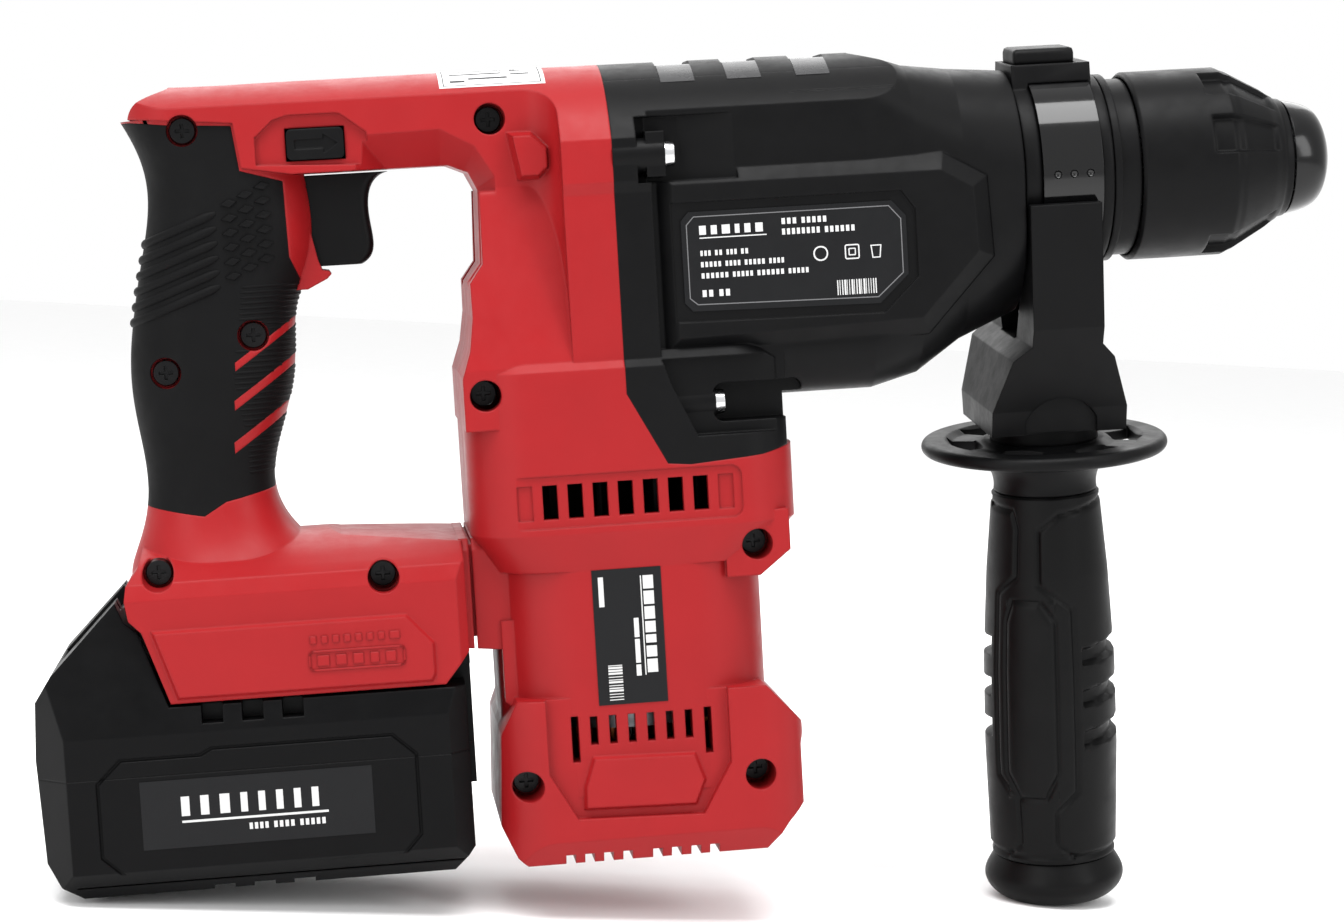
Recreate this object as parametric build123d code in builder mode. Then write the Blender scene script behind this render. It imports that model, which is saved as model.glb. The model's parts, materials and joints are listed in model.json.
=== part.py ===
from build123d import *
import os
from math import acos, atan2, cos, radians, sin

# Cordless rotary hammer, in millimetres.
# Frame: the spindle axis is the X axis and the tool bore's mouth is the origin, +X points out of
# the nose, +Z is up and -Y is the operator's left side.
os.makedirs("parts", exist_ok=True)

# ---------------------------------------------------------------- driving dimensions
WALL = 3.0                  # moulded wall of the red housing
RUBBER = 1.8                # overmoulded grip skin

BODY_HALF = 36.0            # half width of the column
ARM_HALF = 22.0             # half width of the upper arm
CASE_HALF = 31.0            # half width of the gear housing behind its flange
FOOT_HALF = 35.0            # half width of the battery foot
MOTOR_HALF = 37.0           # half width of the motor housing's head and base
BARREL_HALF = 34.8          # half width of the barrel between them
TOP_Z = 36.0                # crest of the crowned top
SHOULDER_Z = 15.0           # where the crown meets the vertical sides
SPLIT_X = -199.5            # joint face between red housing and gear housing

MOTOR_X = -200.5            # vertical motor axis
MOTOR_CAVITY_R = 31.5
MOTOR_BOTTOM_Z = -178.0
LAY_Z = -34.0               # intermediate shaft axis

COLLAR_R = 25.0             # neck that the side handle clamps on
SLEEVE_R = 26.2             # locking sleeve
CAP_FRONT_X = 3.75          # front of the dust cap
SDS_R = 5.05                # tool shank bore
TUBE_R = 15.5               # spindle tube at its rear
CYLINDER_R = 12.0           # bore that the piston and ram run in

HANDLE_X = -77.5            # side handle axis
HANDLE_LEAN = 6.0           # degrees that the side handle hangs past vertical
FLANGE_R = 34.7
BATTERY_HALF = 37.5
BATTERY_BOTTOM_Z = -177.5
RAIL_HALF = 24.0            # battery rail head

# ---------------------------------------------------------------- outlines in side view (X, Z)
# Grip sections from palm swell to foot: height, rear X, front X, half width.
GRIP_SECTIONS = [
    (27.2, -328.8, -285.0, 20.4),
    (22.5, -326.4, -282.0, 21.0),
    (16.0, -324.0, -280.6, 21.0),
    (8.0, -322.9, -279.6, 21.0),
    (-8.7, -325.4, -279.3, 20.5),
    (-24.0, -328.7, -284.8, 19.8),
    (-41.0, -330.7, -286.6, 20.3),
    (-58.0, -329.2, -291.3, 20.0),
    (-73.0, -328.3, -294.0, 19.5),
    (-84.0, -330.8, -289.5, 22.0),
    (-96.0, -333.8, -277.0, 30.0),
]

RUBBER_OUTLINE = [
    (-345.0, 27.0), (-325.8, 26.7), (-316.0, 25.4), (-299.0, 24.3), (-297.5, 12.3), (-286.4, 9.0),
    (-286.0, -11.2), (-282.6, -19.5), (-270.0, -24.0), (-270.0, -66.0), (-294.0, -73.0),
    (-307.0, -75.5), (-313.0, -79.0), (-328.5, -76.0), (-345.0, -74.0),
]

# Red stripes that show through the rubber below the trigger: rear end, front end, width.
STRIPES = [
    ((-302.2, -39.6), (-280.0, -24.6), 2.3),
    ((-303.0, -49.9), (-280.0, -34.4), 2.6),
    ((-303.8, -61.3), (-280.0, -45.3), 3.0),
]

# The black gear housing's share of the body.
GEAR_SHARE = [
    (SPLIT_X, 60.0), (SPLIT_X, -52.4), (-189.5, -71.6), (-183.4, -72.2), (-163.6, -70.8),
    (-140.0, -66.0), (10.0, -66.0), (10.0, 60.0),
]

# Housing screws, driven from the left: X, Z and distance of the head from the middle plane.
HOUSING_SCREWS = [
    (-311.9, 23.7, 18.5), (-296.9, -31.5, 16.5), (-320.7, -40.2, 16.0), (-230.5, 22.4, 13.0),
    (-236.7, -50.7, 22.0), (-325.9, -92.7, 24.0), (-266.7, -97.0, 24.0), (-231.8, -156.0, 25.0),
    (-169.2, -157.0, 25.0), (-166.4, -95.0, 25.0),
]
SCREW_HOLE_R = 4.2
SCREW_HEAD_R = 3.7
SCREW_HEAD_LONG = 2.6
SCREW_SHANK_R = 2.0
SCREW_REACH = 9.0           # shank past the middle plane

KNOB_X = -160.0             # mode selector on the right side
KNOB_Z = -14.0
KNOB_Y = 34.5

FLANGE_SCREWS = [           # gear housing to body: Y, Z, X of the head's front
    (-32.0, 10.3, -182.9), (32.0, 10.3, -182.9), (-28.0, -56.5, -172.6), (28.0, -56.5, -172.6),
]

# Gear train: tooth counts, pitch radii and face widths.
SPINDLE_TEETH = 34
LAY_TEETH = 12
CROWN_TEETH = 32
MOTOR_TEETH = 9
CENTRE = -LAY_Z
SPINDLE_PITCH_R = CENTRE * SPINDLE_TEETH / (SPINDLE_TEETH + LAY_TEETH)
LAY_PITCH_R = CENTRE - SPINDLE_PITCH_R
CROWN_PITCH_R = 19.0
MOTOR_PITCH_R = CROWN_PITCH_R * MOTOR_TEETH / CROWN_TEETH
SPUR_X = (-130.0, -120.0)   # where spindle gear and intermediate pinion mesh

WOBBLE_X = -162.0           # centre of the wobble bearing
BALL_X = -26.0              # lock balls in the tool holder
BALL_R = 3.5
BALL_Y = 7.0                # distance of the lock balls from the spindle axis


def loft_grip(inset):
    """Grip solid through its rounded sections, inset from the outer surface."""
    with BuildPart() as grip:
        for height, rear, front, half in GRIP_SECTIONS:
            length = front - rear - 2 * inset
            width = 2 * (half - inset)
            with BuildSketch(Plane.XY.offset(height)):
                with Locations(((rear + front) / 2, 0)):
                    RectangleRounded(length, width, 0.42 * min(length, width))
        loft()
    return grip.part


def block(low, high, corner=0.0):
    """Upright block between two corners, its vertical edges rounded."""
    size = [b - a for a, b in zip(low, high)]
    with BuildPart() as piece:
        with BuildSketch(Plane.XY.offset(low[2])):
            with Locations(((low[0] + high[0]) / 2, (low[1] + high[1]) / 2)):
                if corner:
                    RectangleRounded(size[0], size[1], corner)
                else:
                    Rectangle(size[0], size[1])
        extrude(amount=size[2])
    return piece.part


def slab(points, half, rounding=0.0):
    """Side-view outline, extruded to both sides of the middle plane."""
    with BuildPart() as piece:
        with BuildSketch(Plane.XZ):
            Polygon(*points, align=None)
            if rounding:
                fillet(vertices(), rounding)
        extrude(amount=half, both=True)
    return piece.part


def rod(start_x, end_x, radius, bore=0.0, y=0.0, z=0.0):
    """Round bar or tube along X."""
    with BuildPart() as piece:
        with BuildSketch(Plane.YZ.offset(start_x)):
            with Locations((y, z)):
                Circle(radius)
                if bore:
                    Circle(bore, mode=Mode.SUBTRACT)
        extrude(amount=end_x - start_x)
    return piece.part


def post(low_z, high_z, radius, bore=0.0, x=MOTOR_X, y=0.0):
    """Round bar or tube along Z."""
    with BuildPart() as piece:
        with BuildSketch(Plane.XY.offset(low_z)):
            with Locations((x, y)):
                Circle(radius)
                if bore:
                    Circle(bore, mode=Mode.SUBTRACT)
        extrude(amount=high_z - low_z)
    return piece.part


def cross_bar(start_y, end_y, radius, x, z):
    """Round bar along Y."""
    with BuildPart() as piece:
        with BuildSketch(Plane.XZ.offset(-start_y)):
            with Locations((x, z)):
                Circle(radius)
        extrude(amount=start_y - end_y)
    return piece.part


# ---------------------------------------------------------------- outer form of the body
# Side details are made on the left (-Y); the right half is its mirror image.
grip_outer = loft_grip(0.0)
grip_core = loft_grip(RUBBER)
grip_hollow = loft_grip(RUBBER + WALL)

# Arm, finger-gap frame and column under one crowned top.
with BuildPart() as upper_form:
    with BuildSketch(Plane.XZ):
        with BuildLine():
            crest = Spline((-326.2, 27.5), (-322.7, 32.3), (-317.0, 34.8), (-290.0, 35.8),
                           tangents=((0.2, 1), (1, 0.02)))
            Polyline(crest @ 1, (-240, TOP_Z), (-131, TOP_Z - 0.6), (-131, -56), (-155, -56),
                     (-155, -60), (-242.5, -60), (-242.5, -46), (-240, -38.7), (-238.7, -30),
                     (-238.7, -21), (-235, -16), (-234.5, 3.7), (-236.8, 8.5), (-242, 10.75),
                     (-284, 10.75), (-297, 13), (-298.5, 25), crest @ 0)
        make_face()
    extrude(amount=BODY_HALF, both=True)
    with BuildSketch(Plane.YZ.offset(-340)):
        with BuildLine():
            crown = ThreePointArc((-BODY_HALF, SHOULDER_Z), (0, TOP_Z), (BODY_HALF, SHOULDER_Z))
            Polyline(crown @ 1, (BODY_HALF, 3.7), (BODY_HALF - 1, 0.7), (BODY_HALF - 1, -70),
                     (1 - BODY_HALF, -70), (1 - BODY_HALF, 0.7), (-BODY_HALF, 3.7), crown @ 0)
        make_face()
    extrude(amount=220, mode=Mode.INTERSECT)
    # the finger-gap frame is narrower than the column, and flares into it
    with BuildSketch(Plane.YZ.offset(-345)):
        Polygon((-60, 50), (-ARM_HALF, 50), (-ARM_HALF, 4), (1 - BODY_HALF, -44), (-60, -44),
                align=None)
    extrude(amount=345 - 213, mode=Mode.SUBTRACT)
    cove = upper_form.edges().filter_by(Axis.Z).filter_by_position(Axis.X, -213.2, -212.8)
    fillet(cove.filter_by(lambda e: abs(e.center().Y + ARM_HALF) < 0.5), 9)
    with BuildSketch(Plane.XY.offset(-60)):
        with Locations((-320, 0)):
            Rectangle(60, 100)
        with Locations((-264, 0)):
            RectangleRounded(128, 2 * ARM_HALF, 14, mode=Mode.SUBTRACT)
    extrude(amount=110, mode=Mode.SUBTRACT)
    # coved rim above and in front of the finger gap
    for depth, points in [
        (ARM_HALF + 0.1, [(-268, 2), (-266, 20.0), (-244, 20.5), (-235, 15.5), (-230, 7),
                          (-230, -13), (-232.5, -20.5), (-243, -24)]),
        (12.0, [(-258, 2), (-258, 10), (-244, 10.2), (-238, 8), (-235.2, 4), (-235.6, -15),
                (-238.7, -20.5), (-243, -24)]),
    ]:
        with BuildSketch(Plane.XZ.offset(depth)):
            Polygon(*points, align=None)
    loft(ruled=True, mode=Mode.SUBTRACT)
    # pressed lug beside the frame's corner
    with BuildSketch(Plane.XZ.offset(ARM_HALF - 2)):
        Polygon((-227, 19), (-219.5, 19), (-214.5, 14.5), (-214.5, 8), (-218, 5), (-224.5, 5),
                align=None)
    extrude(amount=7, taper=14)

with BuildPart() as foot_form:
    add(slab([(-335.0, -98.8), (-334.2, -104), (-331.0, -107.3), (-324.6, -126.6), (-252, -126.6),
              (-245.2, -118.5), (-245.2, -89.8), (-251, -89.2), (-262, -88.2), (-277, -86.9),
              (-290, -82), (-326, -82), (-330.2, -86.6), (-331.4, -91), (-334.4, -95)], 40))
    with BuildSketch(Plane.YZ.offset(-340)):
        with BuildLine():
            brow = ThreePointArc((-33.4, -94.6), (0, -85.5), (33.4, -94.6))
            Polyline(brow @ 1, (FOOT_HALF, -98.8), (FOOT_HALF, -127), (-FOOT_HALF, -127),
                     (-FOOT_HALF, -98.8), brow @ 0)
        make_face()
    extrude(amount=100, mode=Mode.INTERSECT)
    chamfer(foot_form.edges().filter_by(Axis.Z).filter_by(lambda e: e.length > 5), 2.5)
    with BuildSketch(Plane.XZ.offset(FOOT_HALF - 1)):
        Polygon((-329.5, -106.4), (-261, -106.4), (-253.6, -114.8), (-253.6, -123.6),
                (-255, -126.2), (-323.2, -126.2), align=None)
    extrude(amount=2.4, taper=30)

with BuildPart() as lug_form:
    add(slab([(-246, -89.5), (-225, -89.5), (-225, -121), (-246, -118.8)], 25.0))
    chamfer(lug_form.edges().filter_by(Axis.X), 3)
    add(slab([(-243.4, -80), (-242.6, -80), (-242.6, -130), (-243.4, -130)], 40.0),
        mode=Mode.SUBTRACT)
    add(slab([(-246, -91.0), (-225, -91.0), (-225, -119.0), (-246, -117.0)], 23.0))

with BuildPart() as base_form:
    add(block((-240, -MOTOR_HALF, MOTOR_BOTTOM_Z), (-155.5, MOTOR_HALF, -133), 15))
    add(slab([(-233.5, -133), (-238, -142.5), (-239.3, -167.6), (-235.6, -175.6), (-233, -178),
              (-168, -178), (-161.8, -171), (-156.8, -167), (-156.8, -151), (-155.5, -147.5),
              (-156, -145), (-166.5, -133)], 60), mode=Mode.INTERSECT)
    with BuildSketch(Plane.YZ.offset(-245)):
        Polygon((-MOTOR_HALF, -130), (MOTOR_HALF, -130), (MOTOR_HALF, -171.5), (33, -178),
                (-33, -178), (-MOTOR_HALF, -171.5), align=None)
    extrude(amount=95, mode=Mode.INTERSECT)
    # the barrel shows between the corner bosses, with a raised pad below its vents
    with BuildSketch(Plane.XZ.offset(60)):
        Polygon((-226, -120), (-226, -153), (-219, -165.5), (-185, -166.5), (-177, -153),
                (-177, -120), align=None)
    extrude(amount=BARREL_HALF - 60.3, mode=Mode.SUBTRACT)
    with BuildSketch(Plane.XZ.offset(BARREL_HALF - 1)):
        Polygon((-217.4, -157), (-214.5, -148.6), (-186, -149.4), (-183.4, -157.4),
                (-186.5, -164.6), (-217.6, -163.8), align=None)
    extrude(amount=2.6, taper=25)

with BuildPart() as motor_form:
    add(block((-242.5, -MOTOR_HALF, -88.8), (-154.2, MOTOR_HALF, -41.4), 17))
    chamfer(motor_form.faces().sort_by(Axis.Z)[-1].edges(), 4)
    with BuildSketch(Plane.XY.offset(-88.8)):
        with Locations(((-242.5 - 154.2) / 2, 0)):
            RectangleRounded(242.5 - 154.2, 2 * MOTOR_HALF, 17)
    with BuildSketch(Plane.XY.offset(-99)):
        with Locations((MOTOR_X, 0)):
            RectangleRounded(73, 2 * BARREL_HALF, 17)
    loft(ruled=True)
    add(block((-237, -BARREL_HALF, -160), (-164, BARREL_HALF, -90), 22))
    # ear of the upper front screw, and the web below the lug
    add(slab([(-175, -86), (-157.5, -86), (-157.5, -97), (-166, -103.5), (-175, -103.5)], 34.0))
    add(slab([(-236, -112), (-229, -112), (-229, -140), (-236, -134)], 26.0))
    add(base_form.part)
    # framed field of the upper air vents
    with BuildSketch(Plane.XZ.offset(MOTOR_HALF + 1)):
        with Locations((-201, -80)):
            RectangleRounded(62, 14, 3)
    extrude(amount=-1.7, mode=Mode.SUBTRACT)

# Gear housing: flange, waisted body, side bulge, nose and neck.
with BuildPart() as case_form:
    add(upper_form.part)
    add(slab([(SPLIT_X, 60), (-129, 60), (-129, -60), (SPLIT_X, -60)], 60), mode=Mode.INTERSECT)
    add(block((-189.5, -60, -60), (-100, -CASE_HALF, 60)), mode=Mode.SUBTRACT)
    for x, top, bottom, half, corner in [
        (-131.0, 35.2, -56.0, CASE_HALF, 13.0), (-117.5, 31.0, -53.0, 30.5, 18.0),
        (-104.0, 29.6, -45.0, 29.5, 24.0), (-87.5, 28.5, -38.5, 28.2, 27.0),
    ]:
        with BuildSketch(Plane.YZ.offset(x)):
            with Locations((0, (top + bottom) / 2)):
                RectangleRounded(2 * half, top - bottom, corner)
    loft(ruled=True)
    with BuildSketch(Plane.YZ.offset(-200)):
        with BuildLine():
            crown = ThreePointArc((-BODY_HALF, SHOULDER_Z), (0, TOP_Z), (BODY_HALF, SHOULDER_Z))
            Polyline(crown @ 1, (BODY_HALF, -80), (-BODY_HALF, -80), crown @ 0)
        make_face()
    extrude(amount=150, mode=Mode.INTERSECT)
    with BuildSketch(Plane.XZ.offset(CASE_HALF - 1)):
        Polygon((-189, 7), (-110, 7), (-98, 0), (-97, -22), (-116, -42), (-189, -44), align=None)
    extrude(amount=4.2, taper=50)
    add(motor_form.part)
    add(rod(-88, -54, COLLAR_R - 0.5))
    add(rod(-88, -59.5, COLLAR_R))
    add(rod(-88, -86.9, 26.6))
    add(rod(-61.6, -59.5, 26.0))
    add(slab(GEAR_SHARE, 60), mode=Mode.INTERSECT)
    # stepped pocket around the lower flange screw
    with BuildSketch(Plane.XZ.offset(60)):
        Polygon((-189.5, -44), (-187.2, -51.3), (-181, -64.8), (-150, -64.8), (-150, -44),
                align=None)
    extrude(amount=CASE_HALF + 1 - 60, mode=Mode.SUBTRACT)
    with BuildSketch(Plane.XZ.offset(60)):
        with Locations((-163.5, -56.5)):
            RectangleRounded(25, 10.4, 3)
    extrude(amount=23 - 60, mode=Mode.SUBTRACT)
    # boss of the upper flange screw in a relief that runs out into the side
    with BuildSketch(Plane.XY.offset(3)):
        Polygon((-193, -60), (-193, -31), (-190, -28), (-181, -28), (-166, -CASE_HALF - 0.1),
                (-166, -60), align=None)
    extrude(amount=17.5, mode=Mode.SUBTRACT)
    add(block((-190.5, -35.5, 4.5), (-185.5, -27, 16.5)))
    # lower edges rounded in front of the flange
    with BuildSketch(Plane.YZ.offset(-156)):
        with Locations((0, -60)):
            Rectangle(90, 34)
        with Locations((0, (35.2 - 56.0) / 2)):
            RectangleRounded(2 * CASE_HALF, 35.2 + 56.0, 13.0, mode=Mode.SUBTRACT)
    extrude(amount=25.2, mode=Mode.SUBTRACT)
    # seat of the rating plate and the recessed windows on the crest
    with BuildSketch(Plane.XZ.offset(CASE_HALF + 5)):
        Polygon((-184.5, -2.8), (-122.5, -2.8), (-118.9, -8), (-118.9, -26), (-128.5, -35.2),
                (-184.5, -34.6), align=None)
    extrude(amount=-2.6, mode=Mode.SUBTRACT)
    for x in (-179.5, -161.5, -142.8):
        add(block((x - 4.8, -19, TOP_Z - 1.6), (x + 4.8, 19, TOP_Z + 5)), mode=Mode.SUBTRACT)


# ---------------------------------------------------------------- red housing halves
def grip_skin():
    """Rubber overmould of the left half, open where the red stripes show through."""
    with BuildPart() as skin:
        add(grip_outer)
        add(grip_core, mode=Mode.SUBTRACT)
        add(slab(RUBBER_OUTLINE, 60), mode=Mode.INTERSECT)
        for (rear_x, rear_z), (front_x, front_z), width in STRIPES:
            add(slab([(rear_x, rear_z + width / 2), (front_x, front_z + width / 2),
                      (front_x, front_z - width / 2), (rear_x, rear_z - width / 2)], 60),
                mode=Mode.SUBTRACT)
        split(bisect_by=Plane.XZ, keep=Keep.TOP)
    return skin.part


skin = grip_skin()

UPPER_VENTS = [-221.4 + 6.72 * i for i in range(7)]
BLIND_VENTS = [-228.1, -174.3]
LOWER_VENTS = [-213.3 + 5.12 * i for i in range(6)]
LONG_VENTS = [-218.4, -182.5]
FLOOR_NOTCHES = [-221.5, -216.4, -211.3, -206.1, -198.0, -192.9, -187.6, -182.5]

with BuildPart() as motor_hollow:
    add(post(-163, -45, MOTOR_CAVITY_R))
    # ring and ribs that hold the motor's lower bearing stay standing
    add(post(-174, -163, MOTOR_CAVITY_R, 13.5))
    add(block((-240, -2, -175), (-160, 2, -163)), mode=Mode.SUBTRACT)
    add(post(-171.2, -162, 9.5))

with BuildPart() as half_form:
    for form in (grip_outer, upper_form.part, foot_form.part, lug_form.part, motor_form.part):
        add(form)
    split(bisect_by=Plane.XZ, keep=Keep.TOP)

# screw bosses reach from wall to wall across the seam
with BuildPart() as screw_bosses:
    for x, z, head in HOUSING_SCREWS:
        with BuildSketch(Plane.XZ):
            with Locations((x, z)):
                Circle(SCREW_HOLE_R + 1.8)
        extrude(amount=head)
    add(half_form.part, mode=Mode.INTERSECT)

with BuildPart() as half_shell:
    add(half_form.part)
    hollows = [block(low, high, corner) for low, high, corner in [
        ((-238, -33.2, -86), (-158.5, 33.2, -47), 14.0),
        ((-212, -32, -50), (-190, 32, 12), 0.0),
        ((-226, -18.5, -48), (-190, 18.5, 28.5), 0.0),
        ((-322, -17.5, 22.5), (-220, 17.5, 28.5), 0.0),
        ((-318, -10.5, 13.8), (-240, 10.5, 23), 0.0),
        ((-331, -31, -123.4), (-249, 31, -99), 0.0),
        ((-322, -14, -100), (-250, 14, -91.6), 0.0),
        ((-345, -20.9, -130), (-240, 20.9, -123), 0.0),
        ((-345, -RAIL_HALF - 0.4, -123.4), (-240, RAIL_HALF + 0.4, -116), 0.0),
    ]]
    add([slab(GEAR_SHARE, 60), skin, grip_hollow, motor_hollow.part] + hollows,
        mode=Mode.SUBTRACT)
    add(screw_bosses.part)
    # red cheeks and lip that hold the trigger from behind and below
    with BuildSketch(Plane.XZ):
        Polygon((-286, -5), (-279.9, -5), (-278.4, -12.5), (-277.4, -15.4), (-275.6, -15.7),
                (-275.0, -16.6), (-276.2, -17.8), (-281.6, -20.4), (-286, -20.4), align=None)
    extrude(amount=9.8)
    # arched recess of the direction button
    with BuildSketch(Plane.XZ.offset(60)):
        Polygon((-293, 13.5), (-293, 20.8), (-288, 25.2), (-284, 26.3), (-270.5, 26.3),
                (-263.4, 20.8), (-263.4, 12.2), align=None)
        fillet(vertices().group_by(Axis.Y)[-1], 3)
    extrude(amount=ARM_HALF - 61.6, mode=Mode.SUBTRACT)
    # seat of the rubber, trigger opening, button slot, air vents, notches in the motor's floor
    openings = [skin, block((-293, -8.4, -15), (-270, 8.4, 11.6)),
                block((-285.0, -40, 14.0), (-269.2, 40, 22.8))]
    openings += [block((x - 2, -45, -84.6), (x + 2, -25, -75.4)) for x in UPPER_VENTS]
    openings += [block((x - 2, -45, -84.6), (x + 2, 1.4 - MOTOR_HALF, -75.4))
                 for x in BLIND_VENTS]
    openings += [block((x - 1, -45, -146), (x + 1, -20, -138.3)) for x in LOWER_VENTS]
    openings += [block((x - 1, -45, -150.5), (x + 1, -20, -138)) for x in LONG_VENTS]
    openings += [block((x - 1.3, -45, -180), (x + 1.3, 1, -175.4)) for x in FLOOR_NOTCHES]
    add(openings, mode=Mode.SUBTRACT)

with BuildPart() as left_housing:
    add(half_shell.part)
    for x, z, head in HOUSING_SCREWS:
        with BuildSketch(Plane.XZ.offset(head - SCREW_HEAD_LONG)):
            with Locations((x, z)):
                Circle(SCREW_HOLE_R)
        extrude(amount=60, mode=Mode.SUBTRACT)
        with BuildSketch(Plane.XZ):
            with Locations((x, z)):
                Circle(SCREW_SHANK_R + 0.05)
        extrude(amount=60, mode=Mode.SUBTRACT)

with BuildPart() as right_housing:
    mirror(half_shell.part, about=Plane.XZ)
    for x, z, _ in HOUSING_SCREWS:
        with BuildSketch(Plane.XZ):
            with Locations((x, z)):
                Circle(SCREW_SHANK_R + 0.05)
        extrude(amount=-SCREW_REACH - 1, mode=Mode.SUBTRACT)

with BuildPart() as left_grip:
    add(skin)
    for x, z, _ in HOUSING_SCREWS[:3]:
        with BuildSketch(Plane.XZ):
            with Locations((x, z)):
                Circle(SCREW_HOLE_R)
        extrude(amount=60, mode=Mode.SUBTRACT)

with BuildPart() as right_grip:
    mirror(skin, about=Plane.XZ)

# ---------------------------------------------------------------- gear housing
with BuildPart() as gear_housing:
    add(case_form.part)
    split(bisect_by=Plane.XZ, keep=Keep.TOP)
    mirror(about=Plane.XZ)
    add([
        block((SPLIT_X, -24.8, -49), (-150, 24.8, 25)),
        block((-150.5, -28, -20), (-122, 28, 25)),
        block((-150.5, -18, -46), (-122, 18, -19)),
        block((SPLIT_X, -20, 24), (-122, 20, 30.5)),
        block((SPLIT_X, -20.8, -56), (-183.5, 20.8, -48)),
        block((WOBBLE_X - 8, -12, -52.2), (WOBBLE_X + 8, 12, -48)),
        post(-70, -52, MOTOR_CAVITY_R),
        rod(-123, -116.2, 27.0),
        rod(-117, -107.9, 21.0),
        rod(-108, -76, 17.5),
        rod(-76.2, -53, 20.0),
        rod(-123, -113, 11.2, z=LAY_Z),
        rod(-113.1, -104.9, 10.0, z=LAY_Z),
        rod(-106, -102, 6.0, z=LAY_Z),
    ], mode=Mode.SUBTRACT)
    add([rod(SPLIT_X, front - SCREW_HEAD_LONG, 4.6, y=y, z=z) for y, z, front in FLANGE_SCREWS])
    add([rod(SPLIT_X - 1, front, SCREW_SHANK_R + 0.05, y=y, z=z) for y, z, front in FLANGE_SCREWS],
        mode=Mode.SUBTRACT)
    # bore of the mode selector, right side
    with BuildSketch(Plane.XZ.offset(-20)):
        with Locations((KNOB_X, KNOB_Z)):
            Circle(5.1)
    extrude(amount=-30, mode=Mode.SUBTRACT)

# ---------------------------------------------------------------- fasteners and plates
with BuildPart() as housing_screws:
    for x, z, head in HOUSING_SCREWS:
        with BuildSketch(Plane.XZ.offset(-SCREW_REACH)):
            with Locations((x, z)):
                Circle(SCREW_SHANK_R)
        extrude(amount=head + SCREW_REACH - 1)
        with BuildSketch(Plane.XZ.offset(head - SCREW_HEAD_LONG)):
            with Locations((x, z)):
                Circle(SCREW_HEAD_R)
        extrude(amount=SCREW_HEAD_LONG, taper=9)
        with BuildSketch(Plane.XZ.offset(head)):
            with Locations((x, z)):
                Rectangle(3.8, 0.9)
                Rectangle(0.9, 3.8)
        extrude(amount=-1.3, mode=Mode.SUBTRACT)

with BuildPart() as flange_screws:
    for y, z, front in FLANGE_SCREWS:
        with BuildSketch(Plane.YZ.offset(SPLIT_X)):
            with Locations((y, z)):
                Circle(SCREW_SHANK_R)
        extrude(amount=front - SPLIT_X - 1)
        with BuildSketch(Plane.YZ.offset(front - SCREW_HEAD_LONG)):
            with Locations((y, z)):
                Circle(3.5)
        extrude(amount=SCREW_HEAD_LONG, taper=8)
        with BuildSketch(Plane.YZ.offset(front)):
            with Locations((y, z)):
                Rectangle(3.6, 0.9)
                Rectangle(0.9, 3.6)
        extrude(amount=-1.3, mode=Mode.SUBTRACT)

PLATE_Y = CASE_HALF + 2.4   # floor of the rating plate's seat
with BuildPart() as rating_plate:
    with BuildSketch(Plane.XZ.offset(PLATE_Y)):
        Polygon((-180.1, -5.4), (-125.3, -5.4), (-121.6, -9.6), (-121.6, -25.2), (-129.6, -32.6),
                (-180.1, -31.8), (-182.2, -29.5), (-182.2, -7.7), align=None)
    extrude(amount=0.6)

# ---------------------------------------------------------------- mode selector
with BuildPart() as mode_knob:
    with BuildSketch(Plane.XZ.offset(-KNOB_Y)):
        with Locations((KNOB_X, KNOB_Z)):
            Circle(14)
    extrude(amount=-2.2)
    with BuildSketch(Plane.XZ.offset(-KNOB_Y - 2.2)):
        with Locations((KNOB_X, KNOB_Z)):
            SlotOverall(26, 9)
    extrude(amount=-3.6, taper=6)
    with BuildSketch(Plane.XZ.offset(-24)):
        with Locations((KNOB_X, KNOB_Z)):
            Circle(5.0)
    extrude(amount=-(KNOB_Y - 24))
    with BuildSketch(Plane.XZ.offset(-19.5)):
        with Locations((KNOB_X + 2.6, KNOB_Z)):
            Circle(1.8)
    extrude(amount=-4.5)

# ---------------------------------------------------------------- motor
def wheel(tip_r, root_r, teeth, tip_width, root_width, first_angle):
    """Toothed wheel; first_angle is where one tooth is centred, in degrees."""
    with BuildSketch() as outline:
        Circle(root_r)
        for i in range(teeth):
            with Locations(Location((0, 0, 0), (0, 0, first_angle + 360 / teeth * i))):
                Polygon((root_r - 0.5, -root_width / 2), (tip_r, -tip_width / 2),
                        (tip_r, tip_width / 2), (root_r - 0.5, root_width / 2), align=None)
    return outline.sketch


motor_wheel = wheel(MOTOR_PITCH_R + 0.9, MOTOR_PITCH_R - 1.3, MOTOR_TEETH, 0.8, 1.9,
                    180 / MOTOR_TEETH)
lay_wheel = wheel(LAY_PITCH_R + 1.3, LAY_PITCH_R - 1.7, LAY_TEETH, 0.9, 2.6,
                  90 + 180 / LAY_TEETH)
spindle_wheel = wheel(SPINDLE_PITCH_R + 1.3, SPINDLE_PITCH_R - 1.7, SPINDLE_TEETH, 1.0, 2.4, -90)

with BuildPart() as motor_shaft:
    add(post(-171, -50, 4.0))
    with BuildSketch(Plane.XY.offset(-57.5)):
        with Locations((MOTOR_X, 0)):
            add(motor_wheel)
    extrude(amount=8.0)

with BuildPart() as rotor_core:
    add(post(-143, -105, 13.5, 4.0))
    with BuildSketch(Plane.XY.offset(-144)):
        with Locations((MOTOR_X, 0)):
            with PolarLocations(10.6, 4):
                Rectangle(2.4, 11)
    extrude(amount=40, mode=Mode.SUBTRACT)

with BuildPart() as rotor_magnets:
    with BuildSketch(Plane.XY.offset(-143)):
        with Locations((MOTOR_X, 0)):
            with PolarLocations(10.6, 4):
                Rectangle(2.2, 10.8)
    extrude(amount=38)

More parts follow.
